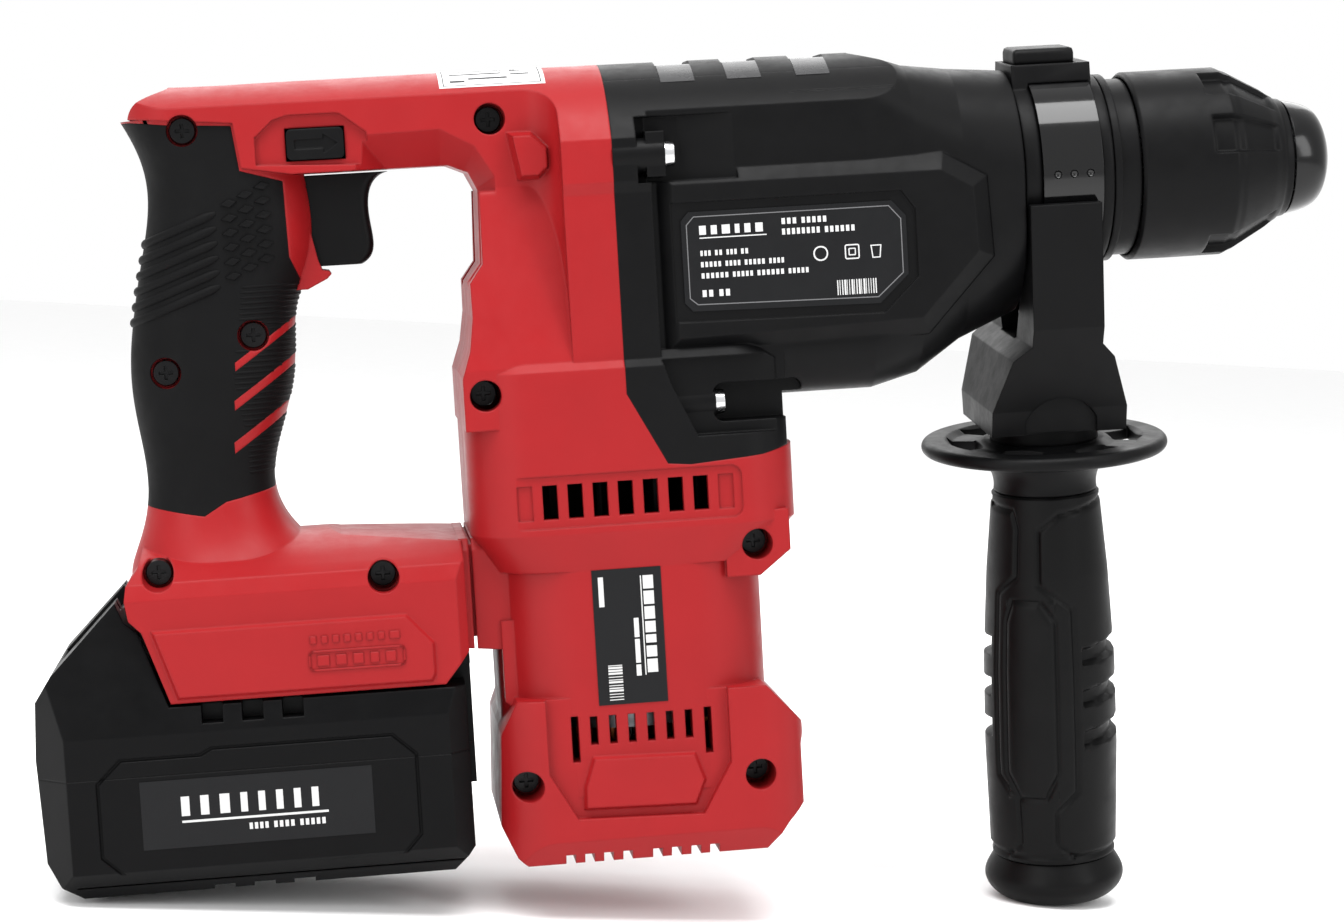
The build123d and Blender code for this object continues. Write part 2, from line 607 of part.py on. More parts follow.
with BuildPart() as stator:
    with BuildSketch(Plane.XY.offset(-143)):
        with Locations((MOTOR_X, 0)):
            Circle(28.0)
            Circle(24.0, mode=Mode.SUBTRACT)
            with PolarLocations(19.5, 6):
                Rectangle(10.5, 7)
            with PolarLocations(15.6, 6):
                Rectangle(2.0, 11.5)
            Circle(14.2, mode=Mode.SUBTRACT)
    extrude(amount=38)

with BuildPart() as stator_coils:
    for i in range(6):
        with BuildSketch(Plane.XY.offset(-147)):
            with Locations(Location((MOTOR_X, 0, 0), (0, 0, 60 * i))):
                with Locations((20.3, 0)):
                    RectangleRounded(6.4, 12.4, 1.5)
                    Rectangle(6.5, 7.2, mode=Mode.SUBTRACT)
        extrude(amount=46)

FAN_BLADES = 11
with BuildPart() as cooling_fan:
    add(post(-87, -74, 8.0, 4.0))
    add(post(-87, -85.5, 28.5, 4.0))
    for i in range(FAN_BLADES):
        with BuildSketch(Plane.XY.offset(-86)):
            with Locations(Location((MOTOR_X, 0, 0), (0, 0, 360 / FAN_BLADES * i))):
                with Locations(Location((17.5, 1, 0), (0, 0, -24))):
                    Rectangle(21, 1.4)
        extrude(amount=11)

with BuildPart() as motor_bearings:
    add(post(-65, -58.2, 11.0, 4.05))
    add(post(-170, -163, 9.5, 4.05))

with BuildPart() as bearing_bracket:
    # gear case floor: wall behind the gears and ring around the motor's upper bearing
    add(block((-212, -29, -66), (-205.0, 29, 11)))
    add(block((-212, -20, -66), (-184, 20, -58.2), 4))
    add(rod(-213, -204, 11.0, z=LAY_Z), mode=Mode.SUBTRACT)
    add(rod(-213, -204, 13.0, z=0.0), mode=Mode.SUBTRACT)
    add(post(-67, -58, 11.0), mode=Mode.SUBTRACT)
    add(post(-58.3, -40, 8.5), mode=Mode.SUBTRACT)

# ---------------------------------------------------------------- intermediate shaft
with BuildPart() as lay_shaft:
    add(rod(-212, -104, 5.0, z=LAY_Z))
    with BuildSketch(Plane.YZ.offset(SPUR_X[0] - 1)):
        with Locations((0, LAY_Z)):
            add(lay_wheel)
    extrude(amount=SPUR_X[1] - SPUR_X[0] + 2)

CROWN_FACE_X = MOTOR_X + MOTOR_PITCH_R + 1.1
with BuildPart() as crown_gear:
    add(rod(CROWN_FACE_X, CROWN_FACE_X + 5, 20.5, 5.0, z=LAY_Z))
    add(rod(CROWN_FACE_X + 5, CROWN_FACE_X + 9, 9.0, 5.0, z=LAY_Z))
    with BuildSketch(Plane.YZ.offset(CROWN_FACE_X - 2.2)):
        with Locations((0, LAY_Z)):
            for i in range(CROWN_TEETH):
                with Locations(Location((0, 0, 0), (0, 0, -90 + 360 / CROWN_TEETH * i))):
                    with Locations((CROWN_PITCH_R, 0)):
                        Rectangle(3.0, 1.25)
    extrude(amount=2.3)

with BuildPart() as wobble_hub:
    with BuildSketch(Plane.XZ):
        with BuildLine():
            face = ThreePointArc((WOBBLE_X - 7, LAY_Z + 10.2), (WOBBLE_X, LAY_Z + 12.4),
                                 (WOBBLE_X + 7, LAY_Z + 10.2))
            Polyline(face @ 1, (WOBBLE_X + 7, LAY_Z + 5), (WOBBLE_X - 7, LAY_Z + 5), face @ 0)
        make_face()
    revolve(axis=Axis((0, 0, LAY_Z), (1, 0, 0)))

with BuildPart() as lay_bearings:
    add(rod(-212, -205, 11.0, 5.05, z=LAY_Z))
    add(rod(-113, -105, 10.0, 5.05, z=LAY_Z))

# ---------------------------------------------------------------- wobble ring, piston, ram, bolt
with BuildPart() as wobble_ring:
    add(rod(WOBBLE_X - 4.5, WOBBLE_X + 4.5, 17.0, 12.9, z=LAY_Z))
    add(post(LAY_Z + 14, 0, 2.2, x=WOBBLE_X))
    add(post(LAY_Z + 14, -12, 3.6, x=WOBBLE_X))
    # trunnions on the axis that it rocks about
    add([cross_bar(-19.5, -16, 3.0, WOBBLE_X, LAY_Z), cross_bar(16, 19.5, 3.0, WOBBLE_X, LAY_Z)])
    with Locations((WOBBLE_X, 0, 0)):
        Sphere(3.5)

with BuildPart() as piston:
    add(rod(-149, -134, 11.9))
    add([rod(-138.6, -136.8, 13.0, 10.9)], mode=Mode.SUBTRACT)
    with BuildSketch(Plane.XZ):
        Polygon((-147, -7), (-147, 7), (-169, 5.5), (-169, -5.5), align=None)
    extrude(amount=10.5, both=True)
    add(block((-172, -6.2, -12), (-149, 6.2, 12)), mode=Mode.SUBTRACT)
    with BuildSketch(Plane.XZ.offset(-12)):
        with Locations((WOBBLE_X, 0)):
            Circle(3.05)
    extrude(amount=24, mode=Mode.SUBTRACT)
    add(rod(-170, -130, 11.9), mode=Mode.INTERSECT)

with BuildPart() as piston_seal:
    add(rod(-138.5, -136.9, 11.95, 10.95))

with BuildPart() as piston_pin:
    with BuildSketch(Plane.XZ.offset(-11)):
        with Locations((WOBBLE_X, 0)):
            Circle(3.0)
    extrude(amount=22)
    with BuildSketch(Plane.XZ.offset(-5.9)):
        with Locations((WOBBLE_X, 0)):
            Circle(6.0)
    extrude(amount=11.8)
    add(post(-9, 9, 3.9, x=WOBBLE_X), mode=Mode.SUBTRACT)
    add(rod(-180, -150, 11.9), mode=Mode.INTERSECT)

with BuildPart() as ram:
    add(rod(-120, -101, 11.9))
    add(rod(-101, -93, 6.0))
    add(rod(-111.3, -109.5, 13.0, 10.9), mode=Mode.SUBTRACT)

with BuildPart() as ram_seal:
    add(rod(-111.2, -109.6, 11.95, 10.95))

with BuildPart() as impact_bolt:
    add(rod(-85, -79, 6.0))
    add(rod(-79, -70, 8.0))
    add(rod(-70, -59.5, 4.9))

with BuildPart() as bolt_guide:
    add(rod(-82.5, -80.5, 12.0, 6.3))
    add(rod(-80.5, -66, 12.0, 8.1))

# ---------------------------------------------------------------- spindle and tool holder
with BuildPart() as spindle:
    add([
        rod(-152, -104, TUBE_R, CYLINDER_R),
        rod(-104, -66, 14.0, CYLINDER_R),
        rod(-66, -55, 14.0, 6.0),
        rod(-55, -47, 12.5, 6.0),
        rod(-47, -14, 10.4, 6.0),
        rod(-14, 0, 10.4, SDS_R),
    ])
    # drive keys of the tool bore, and windows of the lock balls
    add([block((-50, -1.0, 3.9), (-16, 1.0, 6.6)), block((-50, -1.0, -6.6), (-16, 1.0, -3.9))])
    add(cross_bar(-13, 13, BALL_R + 0.1, BALL_X, 0), mode=Mode.SUBTRACT)
    # air ports of the cylinder
    add([cross_bar(-17, 17, 1.6, -90, 0), post(-17, 17, 1.6, x=-90)], mode=Mode.SUBTRACT)

with BuildPart() as spindle_gear:
    with BuildSketch(Plane.YZ.offset(SPUR_X[0])):
        add(spindle_wheel)
        Circle(TUBE_R, mode=Mode.SUBTRACT)
    extrude(amount=SPUR_X[1] - SPUR_X[0])

with BuildPart() as spindle_bearings:
    add([rod(-116, -108, 20.95, TUBE_R + 0.06), rod(-75, -64, 19.95, 14.06)])

with BuildPart() as oil_seal:
    add(rod(-62, -55.5, 19.95, 14.06))

with BuildPart() as lock_ball_left:
    with Locations((BALL_X, -BALL_Y, 0)):
        Sphere(BALL_R)

with BuildPart() as lock_ball_right:
    with Locations((BALL_X, BALL_Y, 0)):
        Sphere(BALL_R)

def spring(start_x, length, turns, radius, wire, z=0.0):
    """Coil spring along X of six-sided wire."""
    with BuildPart() as piece:
        with BuildLine() as coil:
            Helix(pitch=length / turns, height=length, radius=radius, center=(start_x, 0, z),
                  direction=(1, 0, 0))
        with BuildSketch(Plane(coil.line @ 0, z_dir=coil.line % 0)):
            RegularPolygon(wire, 6)
        sweep(path=coil.line, is_frenet=True)
    return piece.part


with BuildPart() as sleeve_spring:
    add(spring(-46.3, 11.5, 4, 11.4, 0.65))

with BuildPart() as ball_cage:
    with BuildSketch(Plane.XZ):
        Polygon((-34, 14), (-13, 14), (-13, 12.45), (-20.5, 12.45), (-26, 10.8), (-34, 10.8),
                align=None)
    revolve(axis=Axis.X)

# Locking sleeve: cylinder and ribbed cone with finger pockets.
with BuildPart() as locking_sleeve:
    with BuildSketch(Plane.XZ):
        Polygon((-53.7, 25.4), (-52.9, SLEEVE_R), (-27.5, SLEEVE_R), (-24.8, 25.0), (-10.3, 17.1),
                (-8.7, 16.4), (-8.7, 13.2), (-12.4, 13.2), (-12.4, 14.02), (-34.6, 14.02),
                (-34.6, 18), (-45.5, 23.0), (-45.5, 24.85), (-53.7, 24.85), align=None)
    revolve(axis=Axis.X)
    for i in range(6):
        facet = Plane.XY.rotated((60 * i + 20, 0, 0))
        with BuildSketch(facet.offset(40)):
            Polygon((-33, -4.8), (-30.6, -6.6), (-24.6, -6.6), (-24.6, 6.6), (-30.6, 6.6),
                    (-33, 4.8), align=None)
        extrude(amount=24.2 - 40, mode=Mode.SUBTRACT)
    for i in range(6):
        rib = Plane.XZ.rotated((60 * i + 50, 0, 0))
        with BuildSketch(rib):
            Polygon((-27.5, 25.6), (-24.8, 25.9), (-13.5, 19.4), (-11.2, 16.9), (-27.5, 16.9),
                    align=None)
        extrude(amount=2.1, both=True)

with BuildPart() as sleeve_stop:
    add(rod(-10.7, -9.5, 12.9, 10.4))

with BuildPart() as dust_cap:
    with BuildSketch(Plane.XZ):
        with BuildLine():
            nose = Spline((-7.9, 15.9), (-3.0, 14.9), (1.2, 12.4), (3.2, 8.6), (CAP_FRONT_X, 5.9),
                          tangents=((1, -0.12), (0.05, -1)))
            Polyline(nose @ 1, (CAP_FRONT_X - 0.5, 5.5), (0, 5.5), (0, 10.45), (-7.9, 10.45),
                     nose @ 0)
        make_face()
    revolve(axis=Axis.X)

# ---------------------------------------------------------------- trigger and switches
TRIGGER_FRONT = [(10.2, -258.0), (8.0, -261.9), (1.0, -263.9), (-6.5, -263.2), (-11.0, -263.4),
                 (-14.4, -266.6)]
with BuildPart() as trigger:
    for height, front in TRIGGER_FRONT:
        with BuildSketch(Plane.XY.offset(height)):
            with Locations(((front - 285.6) / 2, 0)):
                RectangleRounded(front + 285.6, 16.0, 2.6)
    loft()

with BuildPart() as trigger_spring:
    add(spring(-292.5, 6.3, 4, 2.6, 0.4, z=-4))

with BuildPart() as trigger_switch:
    add(block((-315, -8, -18), (-293, 8, 10)))
    chamfer(trigger_switch.edges().filter_by(Axis.Y), 1.5)

with BuildPart() as direction_button:
    add(block((-284.7, -21.6, 14.3), (-269.5, 21.6, 22.5)))
    fillet(direction_button.edges().filter_by(Axis.Y), 1.4)
    # wide middle that closes the slots from inside
    add(block((-289, -7, 14.1), (-265.5, 7, 22.7)))
    # arrow pressed into both ends
    for side in (-1, 1):
        with BuildSketch(Plane.XZ.offset(side * 21.6)):
            Polygon((-282.6, 17.2), (-275.0, 17.2), (-275.0, 15.9), (-271.2, 18.4),
                    (-275.0, 20.9), (-275.0, 19.6), (-282.6, 19.6), align=None)
        extrude(amount=-side * 0.5, mode=Mode.SUBTRACT)

BOARD_Z = -104.2            # upper face of the control board
with BuildPart() as control_board:
    add(block((-320, -26, -105.8), (-255, 26, BOARD_Z)))
    for x, y, length, width, height in [(-311, -12, 10, 12, 3), (-311, 12, 10, 12, 3),
                                        (-295, 0, 14, 20, 2.4), (-281, 12, 8, 10, 3.4)]:
        add(block((x - length / 2, y - width / 2, BOARD_Z),
                  (x + length / 2, y + width / 2, BOARD_Z + height)))

with BuildPart() as terminal_block:
    add(block((-303, -17, -115.6), (-274, 17, -108)))
    for y in (-12, -4, 4, 12):
        add(block((-302, y - 0.5, -120.0), (-280, y + 0.5, -115.0)))

# ---------------------------------------------------------------- battery
BATTERY_OUTLINE = [
    (-338.0, -99.8), (-355.6, -117.4), (-360.4, -124.5), (-361.4, -140), (-360.2, -167.5),
    (-356.6, -173.5), (-351.0, BATTERY_BOTTOM_Z), (-252.5, BATTERY_BOTTOM_Z), (-246.8, -171.0),
    (-246.8, -127.4), (-325.2, -127.4), (-332.2, -108.2), (-335.8, -105.0),
]
SEAM_Z = -145.0

SIDE_PANEL = [
    (-345.5, -146), (-339, -139.8), (-318, -139.8), (-315, -138.2), (-267, -138.2), (-260.7, -144),
    (-260.7, -166), (-266, -171.6), (-290, -171.6), (-293, -173), (-338, -173), (-345.5, -166),
]

with BuildPart() as battery_form:
    add(slab(BATTERY_OUTLINE, BATTERY_HALF))
    with BuildSketch(Plane.YZ.offset(-370)):
        Polygon((-27, -98), (27, -98), (29, -106), (BATTERY_HALF, -134), (BATTERY_HALF, -170),
                (30.5, -178), (-30.5, -178), (-BATTERY_HALF, -170), (-BATTERY_HALF, -134),
                (-29, -106), align=None)
    extrude(amount=130, mode=Mode.INTERSECT)
    with BuildSketch(Plane.XY.offset(-180)):
        Polygon((-361.7, -28), (-353, -BATTERY_HALF), (-252, -BATTERY_HALF), (-246.8, -33),
                (-246.8, 33), (-252, BATTERY_HALF), (-353, BATTERY_HALF), (-361.7, 28), align=None)
    extrude(amount=90, mode=Mode.INTERSECT)
    # groove around each side panel, notches under the rail, grip teeth along the bottom edge
    for side in (-1, 1):
        with BuildSketch(Plane.XZ.offset(side * (BATTERY_HALF + 1))):
            with BuildLine():
                Polyline(*SIDE_PANEL, close=True)
            make_face()
            with BuildLine():
                panel_edge = Polyline(*SIDE_PANEL, close=True)
                offset(amount=-0.9, mode=Mode.REPLACE)
            make_face(mode=Mode.SUBTRACT)
        extrude(amount=-side * 1.7, mode=Mode.SUBTRACT)
    for x in (-314, -303.4, -292.8):
        add([block((x - 2.8, -40, -132), (x + 2.8, -31, -126)),
             block((x - 2.8, 31, -132), (x + 2.8, 40, -126)),
             block((x - 2.8, -40, -179), (x + 2.8, 40, -176.3))], mode=Mode.SUBTRACT)
    # grooves down the slanted rear face, and the pocket of the latch
    add([block((-349.5, y - 1.2, -130), (-337, y + 1.2, -96)) for y in (-20, 20)],
        mode=Mode.SUBTRACT)
    add(slab([(-334, -90), (-334, -112), (-336, -116.2), (-342.2, -116.2), (-347.2, -121.1),
              (-350.2, -121.1), (-353, -118.4), (-372, -99.4), (-372, -90)], 14.4),
        mode=Mode.SUBTRACT)
    # rail: neck between the foot's lips, head above them
    add(block((-330, -20.5, -128), (-244.9, 20.5, -123.8)))
    add(block((-330, -RAIL_HALF, -123.0), (-244.9, RAIL_HALF, -120.4)))
    add(block((-330, -20.5, -124.5), (-244.9, 20.5, -120.4)))
    add(block((-246.9, -20.5, -156), (-244.9, 20.5, -120.4)))

CELL_R = 9.1
CELL_LONG = 65.0
CELL_SPOTS = [(-341.5 + 19.2 * i, z) for i in range(5) for z in (-164.6, -145.6)]

with BuildPart() as battery_hollow:
    add(block((-352.5, -34, -174.4), (-250, 34, -135.6)))
    add(block((-338, -24, -136), (-262, 24, -129.5)))

with BuildPart() as battery_case_upper:
    add(battery_form.part)
    add(battery_hollow.part, mode=Mode.SUBTRACT)
    split(bisect_by=Plane.XY.offset(SEAM_Z), keep=Keep.TOP)
    add([block((-301, y - 1.6, -131), (-276, y + 1.6, -118)) for y in (-12, -4, 4, 12)],
        mode=Mode.SUBTRACT)

with BuildPart() as battery_case_lower:
    add(battery_form.part)
    add(battery_hollow.part, mode=Mode.SUBTRACT)
    split(bisect_by=Plane.XY.offset(SEAM_Z), keep=Keep.BOTTOM)

with BuildPart() as battery_cells:
    for x, z in CELL_SPOTS:
        with BuildSketch(Plane.XZ.offset(-CELL_LONG / 2)):
            with Locations((x, z)):
                Circle(CELL_R)
        extrude(amount=CELL_LONG)

with BuildPart() as battery_board:
    add(block((-334, -22, -132.4), (-264, 22, -130.8)))

with BuildPart() as battery_contacts:
    for y in (-12, -4, 4, 12):
        add([block((-300, y - 1.5, -130.8), (-278, y - 0.6, -121)),
             block((-300, y + 0.6, -130.8), (-278, y + 1.5, -121))])

with BuildPart() as battery_latch:
    with BuildSketch(Plane.XZ):
        Polygon((-337, -103.4), (-352, -118.4), (-349.6, -118.4), (-344, -113.5), (-338.5, -113.5),
                (-336.6, -109), align=None)
    extrude(amount=14.0, both=True)
    with BuildSketch(Plane(origin=(-345.0, 0, -111.6), x_dir=(0, 1, 0), z_dir=(-1, 0, 1))):
        with GridLocations(0, 3.4, 1, 4):
            Rectangle(22, 1.4)
    extrude(amount=1.0)

# ---------------------------------------------------------------- side handle
lean = radians(HANDLE_LEAN)
UP = (0, -sin(lean), cos(lean))
HANDLE_AXIS = Axis((HANDLE_X, 0, 0), UP)
HANDLE_FACE = Plane(origin=(HANDLE_X, 0, 0), x_dir=(1, 0, 0), z_dir=(0, -cos(lean), -sin(lean)))
HANDLE_SIDE = Plane(origin=(HANDLE_X, 0, 0), x_dir=(0, cos(lean), sin(lean)), z_dir=(1, 0, 0))


def handle_level(depth):
    """Plane across the handle axis, depth below the spindle axis."""
    origin = (HANDLE_X, depth * sin(lean), -depth * cos(lean))
    return Plane(origin=origin, x_dir=(1, 0, 0), z_dir=UP)


def strap(radius, depth, half):
    """Ring that runs down tangentially to a flat foot."""
    reach = (half * half + depth * depth) ** 0.5
    angle = atan2(-depth, half) + acos(radius / reach)
    side, level = radius * cos(angle), radius * sin(angle)
    with BuildSketch() as outline:
        Circle(radius)
        Polygon((-side, level), (side, level), (half, -depth), (-half, -depth), align=None)
    return outline.sketch


BAND_X = (-81.9, -65.3)
with BuildPart() as clamp_ring:
    add(rod(-86.5, -62.2, 26.3))
    # saddle with the pocket of the depth stop's button
    with BuildSketch(HANDLE_SIDE.offset(-9.0)):
        Polygon((-11.5, 22), (11.5, 22), (10, 30.4), (-10, 30.4), align=None)
    extrude(amount=22.0)
    with BuildSketch(HANDLE_SIDE.offset(-8.0)):
        Polygon((-7.9, 28.3), (7.9, 28.3), (7.9, 40), (-7.9, 40), align=None)
    extrude(amount=17.8, mode=Mode.SUBTRACT)
    add([rod(BAND_X[0] - 0.2, BAND_X[1] + 0.2, 27.6, 25.85), rod(-90, -60, COLLAR_R + 0.08)],
        mode=Mode.SUBTRACT)

with BuildPart() as clamp_band:
    with BuildSketch(HANDLE_SIDE.offset(BAND_X[0] - HANDLE_X)):
        add(strap(27.4, 45, 8.5))
        add(strap(26.0, 43, 7.1), mode=Mode.SUBTRACT)
    extrude(amount=BAND_X[1] - BAND_X[0])
    with BuildSketch(handle_level(50)):
        Circle(4.05)
    extrude(amount=10, mode=Mode.SUBTRACT)
    # three dimples pressed into each side
    for side in (-1, 1):
        for x in (-78.0, -73.5, -69.0):
            with Locations((x, side * 27.9, -1.2)):
                Sphere(1.3, mode=Mode.SUBTRACT)

with BuildPart() as clamp_bolt:
    with BuildSketch(handle_level(118)):
        Circle(4.0)
    extrude(amount=118 - 42.9)
    with BuildSketch(handle_level(42.9)):
        RegularPolygon(6.3, 6)
    extrude(amount=4.0)

with BuildPart() as side_bracket:
    with BuildSketch(HANDLE_SIDE.offset(-30)):
        Polygon((-31, -6), (31, -6), (31, -40), (21, -64), (19.5, -71), (-19.5, -71), (-21, -64),
                (-31, -40), align=None)
    extrude(amount=60)
    with BuildSketch(HANDLE_FACE):
        Polygon((-9.1, -5), (10.6, -5), (10.6, -45), (14.2, -49), (19, -64), (19, -76),
                (-19, -76), (-19, -64), (-14.2, -49), (-9.1, -45), align=None)
    extrude(amount=40, both=True, mode=Mode.INTERSECT)
    with BuildSketch(HANDLE_SIDE.offset(-30)):
        add(strap(27.9, 45.4, 8.9))
    extrude(amount=60, mode=Mode.SUBTRACT)
    with BuildSketch(handle_level(80)):
        Circle(4.1)
    extrude(amount=40, mode=Mode.SUBTRACT)
    # scooped foot on both faces
    for side in (-1, 1):
        with BuildSketch(HANDLE_FACE.offset(side * 40)):
            with BuildLine():
                arch = ThreePointArc((-9.4, -67), (0.6, -60.5), (10.6, -67))
                Polyline(arch @ 1, (10.6, -76), (-9.4, -76), arch @ 0)
            make_face()
        extrude(amount=side * (18.4 - 40), mode=Mode.SUBTRACT)
    with BuildSketch(handle_level(75.3)):
        Circle(15.2)
        Circle(4.1, mode=Mode.SUBTRACT)
    extrude(amount=5.3)

with BuildPart() as depth_button:
    with BuildSketch(HANDLE_SIDE.offset(-7.6)):
        with Locations((0, 32.0)):
            RectangleRounded(15, 5.0, 1.8)
    extrude(amount=17.0)

with BuildPart() as handle_flange:
    with BuildSketch(HANDLE_FACE):
        with BuildLine():
            rim = ThreePointArc((33.0, -75.2), (FLANGE_R, -77.2), (33.0, -79.2))
            neck = ThreePointArc((20.5, -79.6), (16.2, -83.0), (14.6, -90))
            Polyline(rim @ 1, neck @ 0)
            Polyline(neck @ 1, (4.2, -90), (4.2, -75.4), (17, -75.4), (20.0, -76.6), (26.0, -76.6),
                     (28.0, -75.2), rim @ 0)
        make_face()
    revolve(axis=HANDLE_AXIS)
    # windows between hub and rim
    with BuildSketch(handle_level(90)):
        for angle in (0, 60, 120, 180, 240, 300):
            with Locations(Location((0, 0, 0), (0, 0, angle))):
                Polygon((18.5, -5.5), (26.5, -8.5), (26.5, 8.5), (18.5, 5.5), align=None)
    extrude(amount=14.5, mode=Mode.SUBTRACT)

GRIP_PROFILE = [(15.2, -91), (17.2, -113), (18.7, -140), (18.9, -165), (18.1, -194), (17.2, -197)]
with BuildPart() as side_grip:
    with BuildSketch(HANDLE_FACE):
        with BuildLine():
            flank = Spline(*GRIP_PROFILE)
            Polyline(flank @ 1, (4.2, -197), (4.2, -90.3), (14.6, -90.3), flank @ 0)
        make_face()
    revolve(axis=HANDLE_AXIS)
    # three finger grooves on each flank
    for depth in (136, 148, 160):
        for side in (-1, 1):
            with BuildSketch(HANDLE_FACE):
                Polygon((side * 24, -depth + 2.6), (side * 14.2, -depth + 1.6),
                        (side * 14.2, -depth - 1.6), (side * 24, -depth - 2.6), align=None)
            extrude(amount=9, both=True, mode=Mode.SUBTRACT)

with BuildPart() as grip_end_cap:
    with BuildSketch(HANDLE_FACE):
        with BuildLine():
            swell = Spline((17.0, -197.3), (18.8, -200.4), (19.9, -203.2), (19.4, -206.0),
                           (16.6, -209.0), (9.0, -210.2), tangents=((0.55, -1), (-1, 0)))
            Polyline(swell @ 1, (0, -210.2), (0, -191), (4.1, -191), (4.1, -197.3), swell @ 0)
        make_face()
    revolve(axis=HANDLE_AXIS)


# ---------------------------------------------------------------- export
PARTS = {
    "left_housing": left_housing, "right_housing": right_housing, "left_grip": left_grip,
    "right_grip": right_grip, "gear_housing": gear_housing, "housing_screws": housing_screws,
    "flange_screws": flange_screws, "rating_plate": rating_plate,
    "mode_knob": mode_knob, "motor_shaft": motor_shaft, "rotor_core": rotor_core,
    "rotor_magnets": rotor_magnets, "stator": stator, "stator_coils": stator_coils,
    "cooling_fan": cooling_fan, "motor_bearings": motor_bearings,
    "bearing_bracket": bearing_bracket,
    "lay_shaft": lay_shaft, "crown_gear": crown_gear, "wobble_hub": wobble_hub,
    "lay_bearings": lay_bearings, "wobble_ring": wobble_ring, "piston": piston,
    "piston_seal": piston_seal, "piston_pin": piston_pin, "ram": ram, "ram_seal": ram_seal,
    "impact_bolt": impact_bolt, "bolt_guide": bolt_guide, "spindle": spindle,
    "spindle_gear": spindle_gear, "spindle_bearings": spindle_bearings, "oil_seal": oil_seal,
    "lock_ball_left": lock_ball_left, "lock_ball_right": lock_ball_right,
    "sleeve_spring": sleeve_spring, "ball_cage": ball_cage, "locking_sleeve": locking_sleeve,
    "sleeve_stop": sleeve_stop, "dust_cap": dust_cap, "trigger": trigger,
    "trigger_spring": trigger_spring, "trigger_switch": trigger_switch,
    "direction_button": direction_button, "control_board": control_board,
    "terminal_block": terminal_block, "battery_case_upper": battery_case_upper,
    "battery_case_lower": battery_case_lower, "battery_cells": battery_cells,
    "battery_board": battery_board, "battery_contacts": battery_contacts,
    "battery_latch": battery_latch, "clamp_ring": clamp_ring, "clamp_band": clamp_band,
    "clamp_bolt": clamp_bolt, "side_bracket": side_bracket, "depth_button": depth_button,
    "handle_flange": handle_flange, "side_grip": side_grip, "grip_end_cap": grip_end_cap,
}
for name, piece in PARTS.items():
    piece.part.label = name
    export_step(piece.part, f"parts/{name}.step")
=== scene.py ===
import json
import math
import random

import bmesh
import bpy
from mathutils import Matrix, Vector
from mathutils.bvhtree import BVHTree


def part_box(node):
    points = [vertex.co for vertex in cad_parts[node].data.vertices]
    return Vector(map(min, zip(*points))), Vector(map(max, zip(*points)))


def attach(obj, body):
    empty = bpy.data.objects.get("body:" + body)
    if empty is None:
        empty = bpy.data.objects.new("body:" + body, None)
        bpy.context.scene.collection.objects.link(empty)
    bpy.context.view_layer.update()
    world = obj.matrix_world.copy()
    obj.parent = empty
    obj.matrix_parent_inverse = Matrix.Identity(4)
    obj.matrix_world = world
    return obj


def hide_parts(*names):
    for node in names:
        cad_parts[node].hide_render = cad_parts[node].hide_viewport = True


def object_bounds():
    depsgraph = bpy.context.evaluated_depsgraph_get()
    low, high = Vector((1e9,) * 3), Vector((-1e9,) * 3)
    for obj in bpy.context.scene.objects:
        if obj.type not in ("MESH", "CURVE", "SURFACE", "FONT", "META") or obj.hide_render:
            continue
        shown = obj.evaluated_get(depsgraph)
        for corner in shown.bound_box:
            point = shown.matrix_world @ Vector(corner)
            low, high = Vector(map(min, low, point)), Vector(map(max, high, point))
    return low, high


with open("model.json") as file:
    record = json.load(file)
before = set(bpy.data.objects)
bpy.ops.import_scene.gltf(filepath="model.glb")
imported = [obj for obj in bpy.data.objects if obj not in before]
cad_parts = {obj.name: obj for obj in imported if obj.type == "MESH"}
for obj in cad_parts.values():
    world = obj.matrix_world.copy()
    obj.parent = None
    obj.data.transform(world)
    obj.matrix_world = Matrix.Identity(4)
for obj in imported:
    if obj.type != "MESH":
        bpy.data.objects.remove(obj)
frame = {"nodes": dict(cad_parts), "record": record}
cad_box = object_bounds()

MM = 0.001
NODES = frame["nodes"]
random.seed(7)


# ---------------------------------------------------------------- materials
def add_node(tree, kind, **values):
    """New shader node with its properties or input values set by name."""
    node = tree.nodes.new(kind)
    for key, value in values.items():
        if hasattr(node, key) and key not in node.inputs:
            setattr(node, key, value)
        else:
            node.inputs[key.replace("_", " ")].default_value = value
    return node


